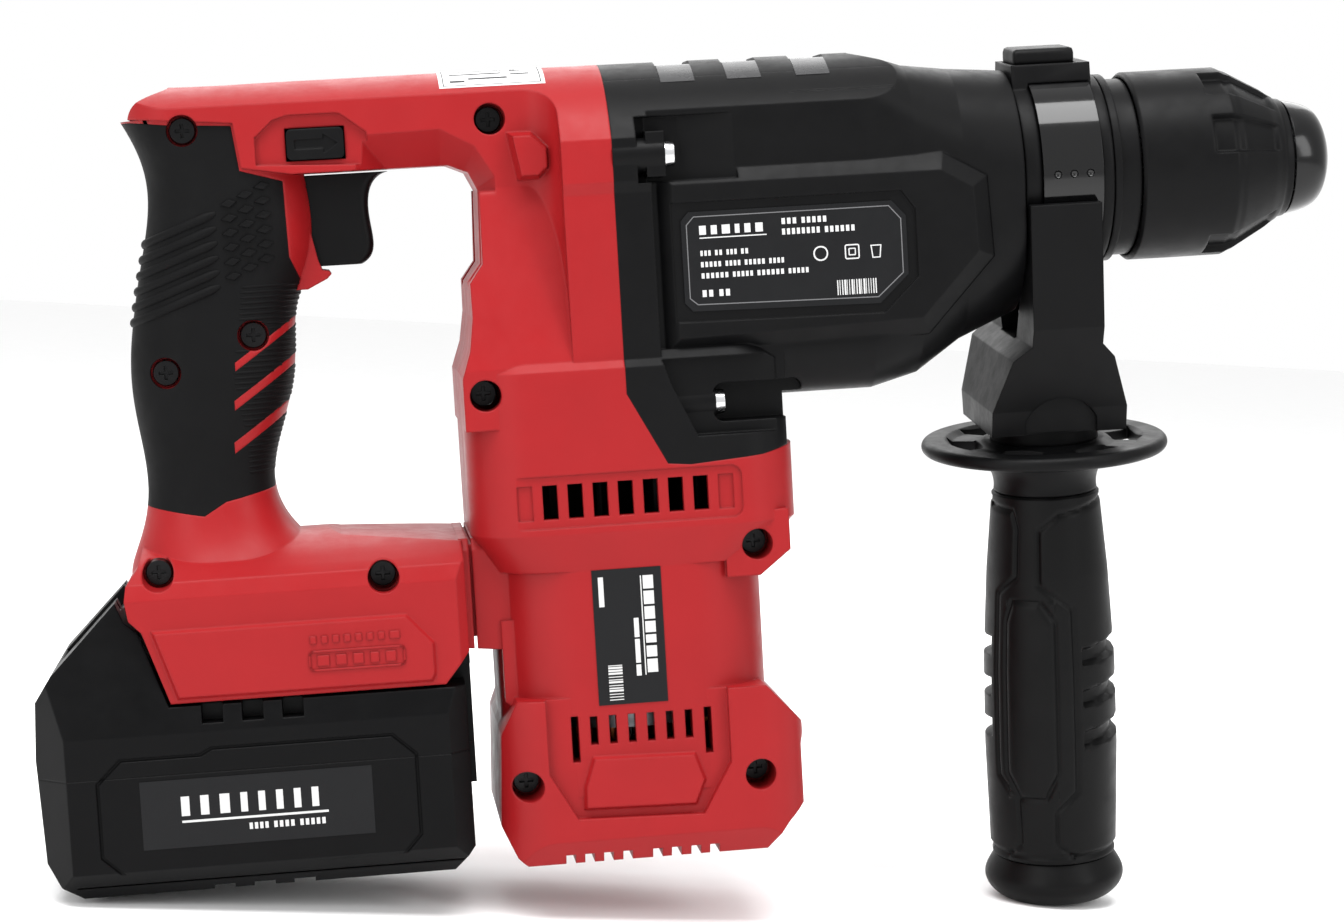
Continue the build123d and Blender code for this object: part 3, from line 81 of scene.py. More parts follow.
def surface(name, colour, rough, metallic=0.0, coat=0.0, grain=900.0, grain_depth=0.00002,
            tone=0.12, rough_spread=0.08, edge=0.0005, stretch=(1, 1, 1), specular=0.5,
            coat_rough=0.1):
    """Moulded, rubber or metal finish: mottled tone, uneven gloss, fine grain and eased edges."""
    material = bpy.data.materials.new(name)
    material.use_nodes = True
    tree = material.node_tree
    shader = tree.nodes["Principled BSDF"]
    shader.inputs["Metallic"].default_value = metallic
    shader.inputs["Coat Weight"].default_value = coat
    shader.inputs["Coat Roughness"].default_value = coat_rough
    shader.inputs["Specular IOR Level"].default_value = specular
    place = add_node(tree, "ShaderNodeTexCoord")
    scale = add_node(tree, "ShaderNodeMapping")
    scale.inputs["Scale"].default_value = stretch
    tree.links.new(place.outputs["Object"], scale.inputs["Vector"])

    cloud = add_node(tree, "ShaderNodeTexNoise", Scale=42.0, Detail=5.0, Roughness=0.6)
    tree.links.new(scale.outputs["Vector"], cloud.inputs["Vector"])
    ramp = add_node(tree, "ShaderNodeValToRGB")
    for stop, factor in zip(ramp.color_ramp.elements, (1 - tone, 1 + tone)):
        stop.color = [min(c * factor, 1.0) for c in colour] + [1.0]
    ramp.color_ramp.elements[0].position = 0.3
    ramp.color_ramp.elements[1].position = 0.7
    tree.links.new(cloud.outputs["Fac"], ramp.inputs["Fac"])
    tree.links.new(ramp.outputs["Color"], shader.inputs["Base Color"])

    wear = add_node(tree, "ShaderNodeTexNoise", Scale=130.0, Detail=6.0, Roughness=0.7)
    tree.links.new(scale.outputs["Vector"], wear.inputs["Vector"])
    gloss = add_node(tree, "ShaderNodeMapRange", From_Min=0.3, From_Max=0.7,
                     To_Min=max(rough - rough_spread, 0.02), To_Max=rough + rough_spread)
    tree.links.new(wear.outputs["Fac"], gloss.inputs["Value"])
    tree.links.new(gloss.outputs["Result"], shader.inputs["Roughness"])

    pores = add_node(tree, "ShaderNodeTexNoise", Scale=grain, Detail=2.0, Roughness=0.5)
    tree.links.new(scale.outputs["Vector"], pores.inputs["Vector"])
    bump = add_node(tree, "ShaderNodeBump", Strength=0.6, Distance=grain_depth)
    tree.links.new(pores.outputs["Fac"], bump.inputs["Height"])
    if edge:
        eased = add_node(tree, "ShaderNodeBevel", samples=4, Radius=edge)
        tree.links.new(eased.outputs["Normal"], bump.inputs["Normal"])
    tree.links.new(bump.outputs["Normal"], shader.inputs["Normal"])
    return material


RED = surface("red moulded plastic", (0.222, 0.0066, 0.0082), 0.42, edge=0.0009, tone=0.04,
              grain_depth=0.000012, specular=0.15)
BLACK = surface("black moulded plastic", (0.0024, 0.0024, 0.0026), 0.42, edge=0.0008,
                tone=0.10, grain_depth=0.000015, specular=0.085)
BATTERY_BLACK = surface("black battery plastic", (0.0018, 0.0018, 0.0020), 0.36, edge=0.0008,
                        tone=0.10, grain_depth=0.000015, specular=0.075)
RUBBER = surface("black rubber", (0.0030, 0.0030, 0.0032), 0.60, edge=0.0004, grain=1400.0,
                 specular=0.07)
GRIP = surface("black grip plastic", (0.0024, 0.0024, 0.0025), 0.42, edge=0.0004, grain=1200.0,
               specular=0.085)
GLOSS = surface("glossy black", (0.0016, 0.0016, 0.0018), 0.20, coat=0.22, edge=0.0005,
                tone=0.06, rough_spread=0.03, grain_depth=0.000004, specular=0.15)
BAND = surface("black enamelled steel", (0.0016, 0.0016, 0.0018), 0.12, coat=0.32, edge=0.0003,
               tone=0.06, rough_spread=0.02, grain_depth=0.000003, coat_rough=0.04,
               specular=0.2)
# Black of the smooth crest windows: the low roughness is their real gloss, and the base colour,
# far lighter than the housing's black, is a painted sheen.
SHEEN_PAINTED_BLACK = surface("smooth black plastic with painted sheen", (0.030, 0.030, 0.031), 0.28, edge=0.0, tone=0.05,
                       specular=0.25)
PLATE = surface("dark print film", (0.0060, 0.0062, 0.0068), 0.36, edge=0.0, tone=0.06,
                specular=0.12)
WHITE = surface("white print", (0.44, 0.44, 0.437), 0.45, edge=0.0, tone=0.02,
                rough_spread=0.04, grain_depth=0.000005, specular=0.2)
GREY_PRINT = surface("grey print", (0.085, 0.085, 0.088), 0.45, edge=0.0, tone=0.04)
INK = surface("dark print", (0.018, 0.018, 0.020), 0.5, edge=0.0, tone=0.05, specular=0.2)
PAPER = surface("white sticker paper", (0.62, 0.62, 0.615), 0.5, edge=0.0, tone=0.02,
                grain=2500.0, specular=0.2)
BLACK_STEEL = surface("black oxide steel", (0.006, 0.006, 0.0065), 0.30, metallic=0.8,
                      edge=0.0002, stretch=(1, 6, 1))
ZINC = surface("zinc plated steel", (0.62, 0.62, 0.63), 0.24, metallic=1.0, edge=0.0002,
               tone=0.06, stretch=(1, 5, 1))
STEEL = surface("ground steel", (0.42, 0.42, 0.43), 0.26, metallic=1.0, edge=0.0002,
                tone=0.08, stretch=(8, 1, 1))
DARK_STEEL = surface("machined steel", (0.24, 0.24, 0.25), 0.33, metallic=1.0, edge=0.0002,
                     tone=0.10, stretch=(1, 5, 5))
SHEETS = surface("stacked steel sheets", (0.20, 0.20, 0.21), 0.40, metallic=1.0, edge=0.0,
                 grain=500.0, grain_depth=0.00006, stretch=(0.05, 0.05, 6))
COPPER = surface("enamelled copper", (0.50, 0.17, 0.06), 0.30, metallic=1.0, edge=0.0005,
                 grain=700.0, grain_depth=0.00012, stretch=(1, 1, 0.1))
CAST = surface("die cast aluminium", (0.42, 0.42, 0.42), 0.42, metallic=1.0, edge=0.0005,
               grain=600.0, grain_depth=0.00003)
GOLD = surface("plated brass", (0.66, 0.46, 0.17), 0.28, metallic=1.0, edge=0.0002)
BOARD = surface("green solder mask", (0.007, 0.045, 0.018), 0.32, coat=0.3, edge=0.0002,
                tone=0.2, grain=400.0)
CELL = surface("blue cell wrap", (0.018, 0.065, 0.14), 0.34, edge=0.0002, tone=0.06)

FINISHES = {
    RED: ["left_housing", "right_housing"],
    RUBBER: ["left_grip", "right_grip", "piston_seal", "ram_seal", "oil_seal"],
    BLACK: ["gear_housing", "mode_knob", "trigger", "direction_button", "trigger_switch",
            "clamp_ring", "side_bracket", "depth_button", "handle_flange", "locking_sleeve",
            "cooling_fan", "terminal_block"],
    GRIP: ["side_grip", "grip_end_cap"],
    BATTERY_BLACK: ["battery_case_upper", "battery_case_lower", "battery_latch"],
    GLOSS: ["dust_cap"],
    BAND: ["clamp_band"],
    PLATE: ["rating_plate"],
    BLACK_STEEL: ["housing_screws"],
    ZINC: ["flange_screws", "clamp_bolt", "rotor_magnets"],
    STEEL: ["motor_shaft", "motor_bearings", "lay_bearings", "wobble_hub", "piston_pin", "ram",
            "impact_bolt", "spindle", "spindle_bearings", "lock_ball_left", "lock_ball_right",
            "sleeve_stop"],
    DARK_STEEL: ["lay_shaft", "crown_gear", "wobble_ring", "bolt_guide", "spindle_gear",
                 "ball_cage", "sleeve_spring", "trigger_spring"],
    SHEETS: ["stator", "rotor_core"],
    COPPER: ["stator_coils"],
    CAST: ["bearing_bracket", "piston"],
    GOLD: ["battery_contacts"],
    BOARD: ["control_board", "battery_board"],
    CELL: ["battery_cells"],
}


def paint(thing, material):
    """Gives an object this one material."""
    thing.data.materials.clear()
    thing.data.materials.append(material)


for material, names in FINISHES.items():
    for name in names:
        paint(NODES[name], material)


# ---------------------------------------------------------------- making pieces
def piece(name, points, faces, material, body, node=None, smooth=True, angle=38.0):
    """Mesh object that rides on a CAD body, in the row frame, and may stand for a CAD node."""
    mesh = bpy.data.meshes.new(name)
    mesh.from_pydata([tuple(p) for p in points], [], faces)
    tidy = bmesh.new()
    tidy.from_mesh(mesh)
    bmesh.ops.remove_doubles(tidy, verts=tidy.verts, dist=1e-6)
    bmesh.ops.recalc_face_normals(tidy, faces=tidy.faces)
    tidy.to_mesh(mesh)
    tidy.free()
    thing = bpy.data.objects.new(name, mesh)
    bpy.context.scene.collection.objects.link(thing)
    paint(thing, material)
    if smooth:
        mesh.shade_smooth()
        mesh.set_sharp_from_angle(angle=math.radians(angle))
    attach(thing, body)
    if node:
        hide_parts(node)
    return thing


def skin_of(*names):
    """Search tree of these nodes' surfaces at rest."""
    points, faces = [], []
    for name in names:
        mesh = NODES[name].data
        base = len(points)
        points += [vertex.co.copy() for vertex in mesh.vertices]
        faces += [[base + i for i in face.vertices] for face in mesh.polygons]
    return BVHTree.FromPolygons(points, faces)


def touch(tree, x, z, side=-1):
    """Point and normal where a line along Y first meets the surface, from the left or right."""
    point, normal, _, _ = tree.ray_cast(Vector((x, side * 0.2, z)), Vector((0.0, -side, 0.0)))
    return (point, normal) if point else None


def stamp(outlines, tree, side, low, high, slope=0.0):
    """Low prisms that follow a surface: outlines in X and Z, foot and top heights above it."""
    points, faces = [], []
    for outline in outlines:
        base = len(points)
        count = len(outline)
        centre_x = sum(p[0] for p in outline) / count
        centre_z = sum(p[1] for p in outline) / count
        feet, tops = [], []
        for x, z in outline:
            met = touch(tree, x, z, side)
            if not met:
                break
            away = Vector((centre_x - x, 0.0, centre_z - z))
            feet.append(met[0] + met[1] * low)
            tops.append(met[0] + met[1] * high + away.normalized() * slope)
        if len(feet) < count:
            continue
        points += feet + tops
        faces += [(base + i, base + (i + 1) % count, base + count + (i + 1) % count,
                   base + count + i) for i in range(count)]
        faces.append([base + count + i for i in range(count)])
        faces.append([base + i for i in reversed(range(count))])
    return points, faces


def rectangle(x0, z0, x1, z1):
    return [(x0, z0), (x1, z0), (x1, z1), (x0, z1)]


def rounded(x0, z0, x1, z1, corner, steps=5):
    """Outline of a rectangle with round corners."""
    outline = []
    for cx, cz, start in [(x1 - corner, z1 - corner, 0), (x0 + corner, z1 - corner, 90),
                          (x0 + corner, z0 + corner, 180), (x1 - corner, z0 + corner, 270)]:
        for i in range(steps + 1):
            a = math.radians(start + 90 * i / steps)
            outline.append((cx + corner * math.cos(a), cz + corner * math.sin(a)))
    return outline


def border(outline, width):
    """Quads that frame a closed outline, inwards by width."""
    count = len(outline)
    centre = Vector((sum(p[0] for p in outline) / count, sum(p[1] for p in outline) / count))
    inner = []
    for i in range(count):
        before, here, after = (Vector(outline[(i + k) % count]) for k in (-1, 0, 1))
        into = Vector((0.0, 0.0))
        for edge in ((here - before), (after - here)):
            across = Vector((-edge.y, edge.x)).normalized()
            if across.dot(centre - here) < 0:
                across = -across
            into += across
        inner.append(here + into / max(into.length_squared, 1e-12) * 2 * width)
    return [[outline[i], outline[(i + 1) % count], tuple(inner[(i + 1) % count]),
             tuple(inner[i])] for i in range(count)]


def print_on(name, tree, outlines, material, body, side=-1, lift=0.00005, thick=0.00006):
    """Printed marks that lie just proud of a surface."""
    points, faces = stamp(outlines, tree, side, lift - 0.00004, lift + thick)
    return piece(name, points, faces, material, body, smooth=False)


def softened(node, body, width, material, angle=28.0, segments=2):
    """Copy of a CAD node with its sharp edges rounded, which stands for the node."""
    work = bmesh.new()
    work.from_mesh(NODES[node].data)
    bmesh.ops.remove_doubles(work, verts=work.verts, dist=2e-6)
    bmesh.ops.dissolve_degenerate(work, edges=work.edges, dist=2e-6)
    bmesh.ops.dissolve_limit(work, angle_limit=math.radians(1.0), verts=work.verts,
                             edges=work.edges)
    sharp = [e for e in work.edges if len(e.link_faces) == 2
             and e.calc_face_angle(0.0) > math.radians(angle)]
    bmesh.ops.bevel(work, geom=sharp, offset=width, offset_type="OFFSET", segments=segments,
                    profile=0.5, affect="EDGES", clamp_overlap=True)
    bmesh.ops.triangulate(work, faces=[f for f in work.faces if len(f.verts) > 4])
    points = [v.co.copy() for v in work.verts]
    work.verts.index_update()
    faces = [[v.index for v in f.verts] for f in work.faces]
    work.free()
    return piece(node + "_moulded", points, faces, material, body, node, angle=45.0)


BODY_OF = {node: body for body, nodes in frame["record"]["behaviour"]["bodies"].items()
           for node in nodes}
ROUNDED_EDGES = [("depth_button", 0.0011), ("clamp_ring", 0.0006), ("mode_knob", 0.0008)]
for node, width in ROUNDED_EDGES:
    softened(node, BODY_OF[node], width, BLACK)


# ---------------------------------------------------------------- rubber grip texture
RUBBER_SKIN = skin_of("left_grip", "right_grip")
GRIP_CENTRE_X = -0.3060
OUTSIDE = 0.05          # distance from the grip's middle where the search lines start
THINNEST = 0.010        # nearest to the middle that the rubber can be


def around(z, angle):
    """Rubber surface met from outside at a height; angle 0 is left, 90 rear, -90 front."""
    out = Vector((-math.sin(math.radians(angle)), -math.cos(math.radians(angle)), 0.0))
    start = Vector((GRIP_CENTRE_X, 0.0, z)) + out * OUTSIDE
    point, normal, _, _ = RUBBER_SKIN.ray_cast(start, -out)
    if point is None or (point - Vector((GRIP_CENTRE_X, 0.0, z))).dot(out) < THINNEST:
        return None
    return point, normal


# Section of a raised bar: share of its width, share of its height.
BAR_SECTION = [(-0.5, -0.3), (-0.42, 0.45), (-0.2, 0.92), (0.0, 1.0), (0.2, 0.92), (0.42, 0.45),
               (0.5, -0.3)]


def ridge(path, width, height, taper=2):
    """Rounded bar along a path of (point, normal), its foot sunk into the surface."""
    points, faces = [], []
    count = len(path)
    for i, (point, normal) in enumerate(path):
        along = (path[min(i + 1, count - 1)][0] - path[max(i - 1, 0)][0]).normalized()
        across = normal.cross(along).normalized()
        end = min(i, count - 1 - i)
        swell = math.sin(math.pi / 2 * min((end + 0.15) / taper, 1.0))
        for u, h in BAR_SECTION:
            lift = height * (h if h < 0 else h * swell)
            points.append(point + across * (u * width * (0.35 + 0.65 * swell)) + normal * lift)
    wide = len(BAR_SECTION)
    for i in range(count - 1):
        for k in range(wide - 1):
            faces.append((i * wide + k, i * wide + k + 1, (i + 1) * wide + k + 1,
                          (i + 1) * wide + k))
        faces.append((i * wide, (i + 1) * wide, (i + 1) * wide + wide - 1, i * wide + wide - 1))
    faces.append(list(range(wide)))
    faces.append(list(reversed(range((count - 1) * wide, count * wide))))
    return points, faces


def joined(parts):
    """One list of points and faces from several."""
    points, faces = [], []
    for more_points, more_faces in parts:
        base = len(points)
        points += more_points
        faces += [[base + i for i in face] for face in more_faces]
    return points, faces


# Bars round the rear of the grip, which fall towards the back.
BAR_FRONT_X = -0.3040
BAR_HEIGHTS = [0.0017 - 0.00386 * i for i in range(6)]
BAR_RISE = math.tan(math.radians(20.0))
BAR_FIRST, BAR_SWEEP, BAR_STEPS = -4.0, 188.0, 60
bars = []
for front_z in BAR_HEIGHTS:
    path = []
    for i in range(BAR_STEPS + 1):
        angle = BAR_FIRST + BAR_SWEEP * i / BAR_STEPS
        z = front_z - 0.004
        for _ in range(3):
            met = around(z, angle)
            if not met:
                break
            z = front_z - max(BAR_FRONT_X - met[0].x, 0.0) * BAR_RISE
        if met and met[0].x <= BAR_FRONT_X + 0.0002:
            path.append(met)
    if len(path) > 8:
        bars.append(ridge(path, 0.0027, 0.00085, taper=3))
points, faces = joined(bars)
piece("grip_bars", points, faces, RUBBER, "housing", angle=60.0)

# Diamonds in front of the bars: X and top Z of each column, and one diamond's corners.
DIAMOND_COLUMNS = [(-0.3010, 0.0038), (-0.2965, 0.0059), (-0.2920, 0.0080)]
DIAMOND_ROWS, DIAMOND_PITCH = 6, 0.00385
DIAMOND = [(-0.0024, -0.0003), (-0.0002, 0.0014), (0.0024, 0.0005), (0.0003, -0.0013)]
diamonds = []
for side in (-1, 1):
    outlines = [[(column_x + x, top_z - DIAMOND_PITCH * row + z) for x, z in DIAMOND]
                for column_x, top_z in DIAMOND_COLUMNS for row in range(DIAMOND_ROWS)]
    diamonds.append(stamp(outlines, RUBBER_SKIN, side, -0.0004, 0.0007, slope=0.00035))
points, faces = joined(diamonds)
piece("grip_diamonds", points, faces, RUBBER, "housing", smooth=False)

# Fine ribs across the front of the grip, their ends on a wave.
FINE_ROWS, FINE_TOP_Z, FINE_PITCH = 36, -0.0185, 0.00142
FINE_WIDTH, FINE_HEIGHT = 0.00085, 0.00022
FINE_STEPS = 56
fine = []
for row in range(FINE_ROWS):
    z = FINE_TOP_Z - FINE_PITCH * row
    reach = 26.0 - 8.0 * math.cos(row * 0.19)
    path = []
    for i in range(FINE_STEPS + 1):
        angle = -28.0 + reach * 0.55 - (124.0 + 1.1 * reach) * i / FINE_STEPS
        met = around(z, angle)
        if met and met[1].dot(Vector((GRIP_CENTRE_X, 0, z)) - met[0]) < 0:
            path.append(met)
        else:
            if len(path) > 4:
                fine.append(ridge(path, FINE_WIDTH, FINE_HEIGHT))
            path = []
    if len(path) > 4:
        fine.append(ridge(path, FINE_WIDTH, FINE_HEIGHT))
points, faces = joined(fine)
piece("grip_fine_ribs", points, faces, RUBBER, "housing", angle=60.0)


# ---------------------------------------------------------------- turned pieces with relief
def turned(name, origin, axis, front, rings, relief, segments, material, body, node,
           angle=40.0):
    """Closed ring-shaped or solid piece: rings of (along, radius, relief share) round an axis."""
    axis = Vector(axis).normalized()
    front = (Vector(front) - axis * Vector(front).dot(axis)).normalized()
    side = axis.cross(front)
    points, faces = [], []
    for along, radius, share in rings:
        for k in range(segments):
            a = 2 * math.pi * k / segments
            r = radius
            if share:
                r += share * relief(math.degrees(a), along, radius)
            points.append(Vector(origin) + axis * along
                          + (front * math.cos(a) + side * math.sin(a)) * r)
    count = len(rings)
    for i in range(count):
        j = (i + 1) % count
        for k in range(segments):
            n = (k + 1) % segments
            faces.append((i * segments + k, i * segments + n, j * segments + n,
                          j * segments + k))
    return piece(name, points, faces, material, body, node, angle=angle)


def step(value, low, high):
    """Smooth step from 0 at low to 1 at high."""
    t = min(max((value - low) / (high - low), 0.0), 1.0)
    return t * t * (3 - 2 * t)


def spread(profile, pitch):
    """Points along a polyline of (along, radius), no further apart than pitch."""
    out = []
    for (a0, r0), (a1, r1) in zip(profile, profile[1:]):
        parts = max(1, int(math.hypot(a1 - a0, r1 - r0) / pitch))
        out += [(a0 + (a1 - a0) * i / parts, r0 + (r1 - r0) * i / parts) for i in range(parts)]
    return out + [profile[-1]]


# Locking sleeve: pockets in pairs that run down the cone as channels, in degrees round it.
POCKETS = [37 + 120 * k + turn for k in range(3) for turn in (-20, 20)]
POCKET_HALF = 11.5
POCKET_DEPTH = 0.0021
CHANNEL_DEPTH = 0.0011
CROWN = 0.0003          # bulge of the cone between the channels


def sleeve_relief(angle, x, radius):
    """Depth of the pockets and channels, negative inwards."""
    nearest = min(abs((angle - centre + 180) % 360 - 180) for centre in POCKETS)
    inside = 1 - step(nearest, POCKET_HALF - 0.8, POCKET_HALF + 0.8)
    start = step(x, -0.0335, -0.0329)
    end = 1 - step(x, -0.0150, -0.0125)
    depth = POCKET_DEPTH - (POCKET_DEPTH - CHANNEL_DEPTH) * step(x, -0.0265, -0.0235)
    crown = CROWN * step(x, -0.026, -0.024) * (1 - step(x, -0.015, -0.012))
    return -depth * inside * start * end + crown * (1 - inside)


# Sleeve's outer and inner profiles: X and radius.
SLEEVE_SEGMENTS = 540
outer = spread([(-0.0537, 0.0254), (-0.0529, 0.02615), (-0.0400, 0.0262), (-0.0272, 0.02615),
                (-0.0264, 0.0258), (-0.0113, 0.0175), (-0.0105, 0.0167), (-0.0087, 0.0164)],
               0.00038)
inner = [(-0.0087, 0.0133), (-0.0124, 0.0133), (-0.0124, 0.01403), (-0.0346, 0.01403),
         (-0.0346, 0.018), (-0.0455, 0.023), (-0.0455, 0.02486), (-0.0537, 0.02486)]
turned("locking_sleeve", (0, 0, 0), (1, 0, 0), (0, -1, 0),
       [(a, r, 1) for a, r in outer] + [(a, r, 0) for a, r in inner],
       lambda angle, along, radius: sleeve_relief(-angle, along, radius), SLEEVE_SEGMENTS,
       BLACK, "sleeve", "locking_sleeve")

# Side grip: creased panels, a long pad and three finger grooves on opposite sides.
LEAN = math.radians(6.0)
HANDLE_DOWN = Vector((0.0, math.sin(LEAN), -math.cos(LEAN)))
HANDLE_TOP = Vector((-0.0775, 0.0, 0.0))
GRIP_R = 0.0175         # radius at which degrees round the grip are measured as lengths


def near(point, line):
    """Distance from a point to a polyline."""
    best = 1.0
    for a, b in zip(line, line[1:]):
        along = Vector(b) - Vector(a)
        t = min(max((point - Vector(a)).dot(along) / along.length_squared, 0.0), 1.0)
        best = min(best, (point - Vector(a) - along * t).length)
    return best


def on_grip(*corners):
    """Polyline given in degrees round the grip and millimetres down it, as lengths in metres."""
    return [(math.radians(a) * GRIP_R, depth * MM) for a, depth in corners]


CREASES = [
    on_grip((88, 92.2), (64, 92.9), (0, 95.3), (-21, 99.7), (-21, 114.8), (10.5, 122),
            (10.5, 175.3), (-9, 181.2), (-9, 191), (10, 195.4), (88, 195.4)),
    on_grip((-92, 93.6), (-50, 94.3), (-44, 99), (-44, 112.9), (-66, 118.2), (-66, 171.4),
            (-44, 177.8), (-43, 191), (-60, 195.4), (-92, 195.4)),
]
PAD = on_grip((-48, 119.7), (-20, 119.7), (-6, 125.5), (-6, 169.5), (-18, 177.3),
              (-42, 177.3), (-55, 170), (-55, 126), (-48, 119.7))
GROOVES = [136.3, 148.3, 160.3]
GROOVE_DEPTH = 0.0021
CREASE_DEPTH, CREASE_WIDTH = 0.00075, 0.00065
PAD_EDGE_DEPTH, PAD_EDGE_WIDTH = 0.00065, 0.0006
PAD_TURN, PAD_HALF_TURN = -30.0, 24
PAD_MIDDLE, PAD_HALF_LONG = 0.1485, 0.0288
PAD_LIFT = 0.0005


def grip_relief(angle, depth, radius):
    """Creases, pad and finger grooves of the side grip; the back repeats the front."""
    turn = (angle + 90) % 180 - 90
    spot = Vector((math.radians(turn) * GRIP_R, depth))
    crease = min(near(spot, line) for line in CREASES)
    lift = -CREASE_DEPTH * math.exp(-(crease / CREASE_WIDTH) ** 2)
    edge = near(spot, PAD)
    lift -= PAD_EDGE_DEPTH * math.exp(-(edge / PAD_EDGE_WIDTH) ** 2)
    if abs(turn - PAD_TURN) < PAD_HALF_TURN and abs(depth - PAD_MIDDLE) < PAD_HALF_LONG:
        lift += PAD_LIFT * (1 - math.exp(-(edge / 0.0015) ** 2))
    across = step(turn, 17, 19) + step(-turn, 74, 76)
    for groove in GROOVES:
        shift = -0.0000265 * (turn - 18 if turn > 0 else turn + 162)
        away = abs(depth - groove * MM - shift)
        lift -= GROOVE_DEPTH * across * (1 - step(away, 0.0016, 0.0028))
    return lift


# Side grip's outer profile: distance down the handle and radius.
GRIP_SEGMENTS = 360
GRIP_PROFILE = [(0.0903, 0.0145), (0.0909, 0.0152), (0.113, 0.0172), (0.140, 0.0187),
                (0.165, 0.0189), (0.1935, 0.0181), (0.1941, 0.0176), (0.1950, 0.0176),
                (0.1956, 0.0180), (0.1968, 0.0176)]
rings = [(a, r, 1) for a, r in spread(GRIP_PROFILE, 0.0006)]
rings += [(0.197, 0.0172, 0), (0.197, 0.0042, 0), (0.0903, 0.0042, 0)]
turned("side_grip", HANDLE_TOP, HANDLE_DOWN, (0, -1, 0), rings,
       lambda angle, depth, radius: grip_relief(-angle, depth, radius), GRIP_SEGMENTS, GRIP,
       "grip_body", "side_grip")


# ---------------------------------------------------------------- printed plates and labels
BLOCK_PITCH = 0.85   # length of one block and its gap, in heights of the line
BLOCK_SHARE = 0.62   # of that length, the part that is printed


def bars_of_text(x0, x1, z, height, breaks):
    """A line of plain blocks in place of words; breaks are shares of the length."""
    outlines = []
    start = 0.0
    for stop in list(breaks) + [1.0]:
        a, b = x0 + (x1 - x0) * start, x0 + (x1 - x0) * stop - height * 0.55
        blocks = max(1, round((b - a) / (height * BLOCK_PITCH)))
        pitch = (b - a) / blocks
        share = BLOCK_SHARE if blocks > 1 else 1.0
        outlines += [rectangle(a + i * pitch, z, a + (i + share) * pitch, z + height)
                     for i in range(blocks)]
        start = stop
    return outlines


def bar_code(x0, x1, z0, z1, upright=False, count=17):
    """Plain stripes of uneven width."""
    outlines = []
    pitch = ((z1 - z0) if upright else (x1 - x0)) / count
    for i in range(count):
        thick = pitch * random.choice((0.3, 0.45, 0.7))
        if upright:
            outlines.append(rectangle(x0, z0 + i * pitch, x1, z0 + i * pitch + thick))
        else:
            outlines.append(rectangle(x0 + i * pitch, z0, x0 + i * pitch + thick, z1))
    return outlines


PLATE_TREE = skin_of("rating_plate")
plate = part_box("rating_plate")
left_x, right_x, low_z, high_z = plate[0].x, plate[1].x, plate[0].z, plate[1].z
octagon = [(left_x + 0.0034, high_z - 0.0012), (right_x - 0.0045, high_z - 0.0012),
           (right_x - 0.0013, high_z - 0.0049), (right_x - 0.0013, low_z + 0.0078),
           (right_x - 0.0084, low_z + 0.0016), (left_x + 0.0034, low_z + 0.0024),
           (left_x + 0.0013, low_z + 0.0042), (left_x + 0.0013, high_z - 0.0034)]
print_on("plate_frame", PLATE_TREE, border(octagon, 0.00028), GREY_PRINT, "housing")
# Lines on the plate: start and end from its left edge, drop from its top, height and breaks.
PLATE_LINES = [
    (0.0048, 0.0232, 0.0062, 0.0024, (0.17, 0.33, 0.52, 0.66, 0.82)),
    (0.0270, 0.0405, 0.0046, 0.0016, (0.4,)),
    (0.0270, 0.0480, 0.0074, 0.0016, (0.55,)),
    (0.0048, 0.0188, 0.0118, 0.0014, (0.28, 0.5, 0.78)),
    (0.0048, 0.0283, 0.0148, 0.0014, (0.28, 0.5, 0.78)),
    (0.0048, 0.0348, 0.0178, 0.0014, (0.28, 0.5, 0.78)),
    (0.0048, 0.0138, 0.0227, 0.0018, (0.5,)),
]
# Small frames on the plate: half width, corner, line width, and distance from its right edge.
PLATE_FRAMES = [(0.0020, 0.0006, 0.00035, 0.0150), (0.0010, 0.0003, 0.0003, 0.0150),
                (0.0020, 0.0019, 0.0004, 0.0235)]
FRAMES_DROP = 0.0130
marks = [rectangle(left_x + 0.0048, high_z - 0.0072, left_x + 0.0228, high_z - 0.0069)]
for start, end, drop, height, breaks in PLATE_LINES:
    marks += bars_of_text(left_x + start, left_x + end, high_z - drop, height, breaks)
marks += bar_code(right_x - 0.0195, right_x - 0.0085, low_z + 0.0028, low_z + 0.0068)
for half, corner, line, inset in PLATE_FRAMES:
    x, z = right_x - inset, high_z - FRAMES_DROP
    marks += border(rounded(x - half, z - half, x + half, z + half, corner), line)
marks += border([(right_x - 0.0100, high_z - 0.0115), (right_x - 0.0070, high_z - 0.0115),
                 (right_x - 0.0074, high_z - 0.0150), (right_x - 0.0096, high_z - 0.0150)],
                0.0003)
print_on("plate_marks", PLATE_TREE, marks, WHITE, "housing")

# Label on the motor's barrel, read sideways: X and Z of its lower rear and upper front corners.
BODY_TREE = skin_of("left_housing", "right_housing")
barrel = (-0.2116, -0.1355, -0.1930, -0.0990)
LABEL_THICK = 0.00012
LABEL_MARKS_LIFT = 0.00026
print_on("motor_label", BODY_TREE, [rectangle(*barrel)], PLATE, "housing", lift=LABEL_THICK,
         thick=LABEL_THICK)
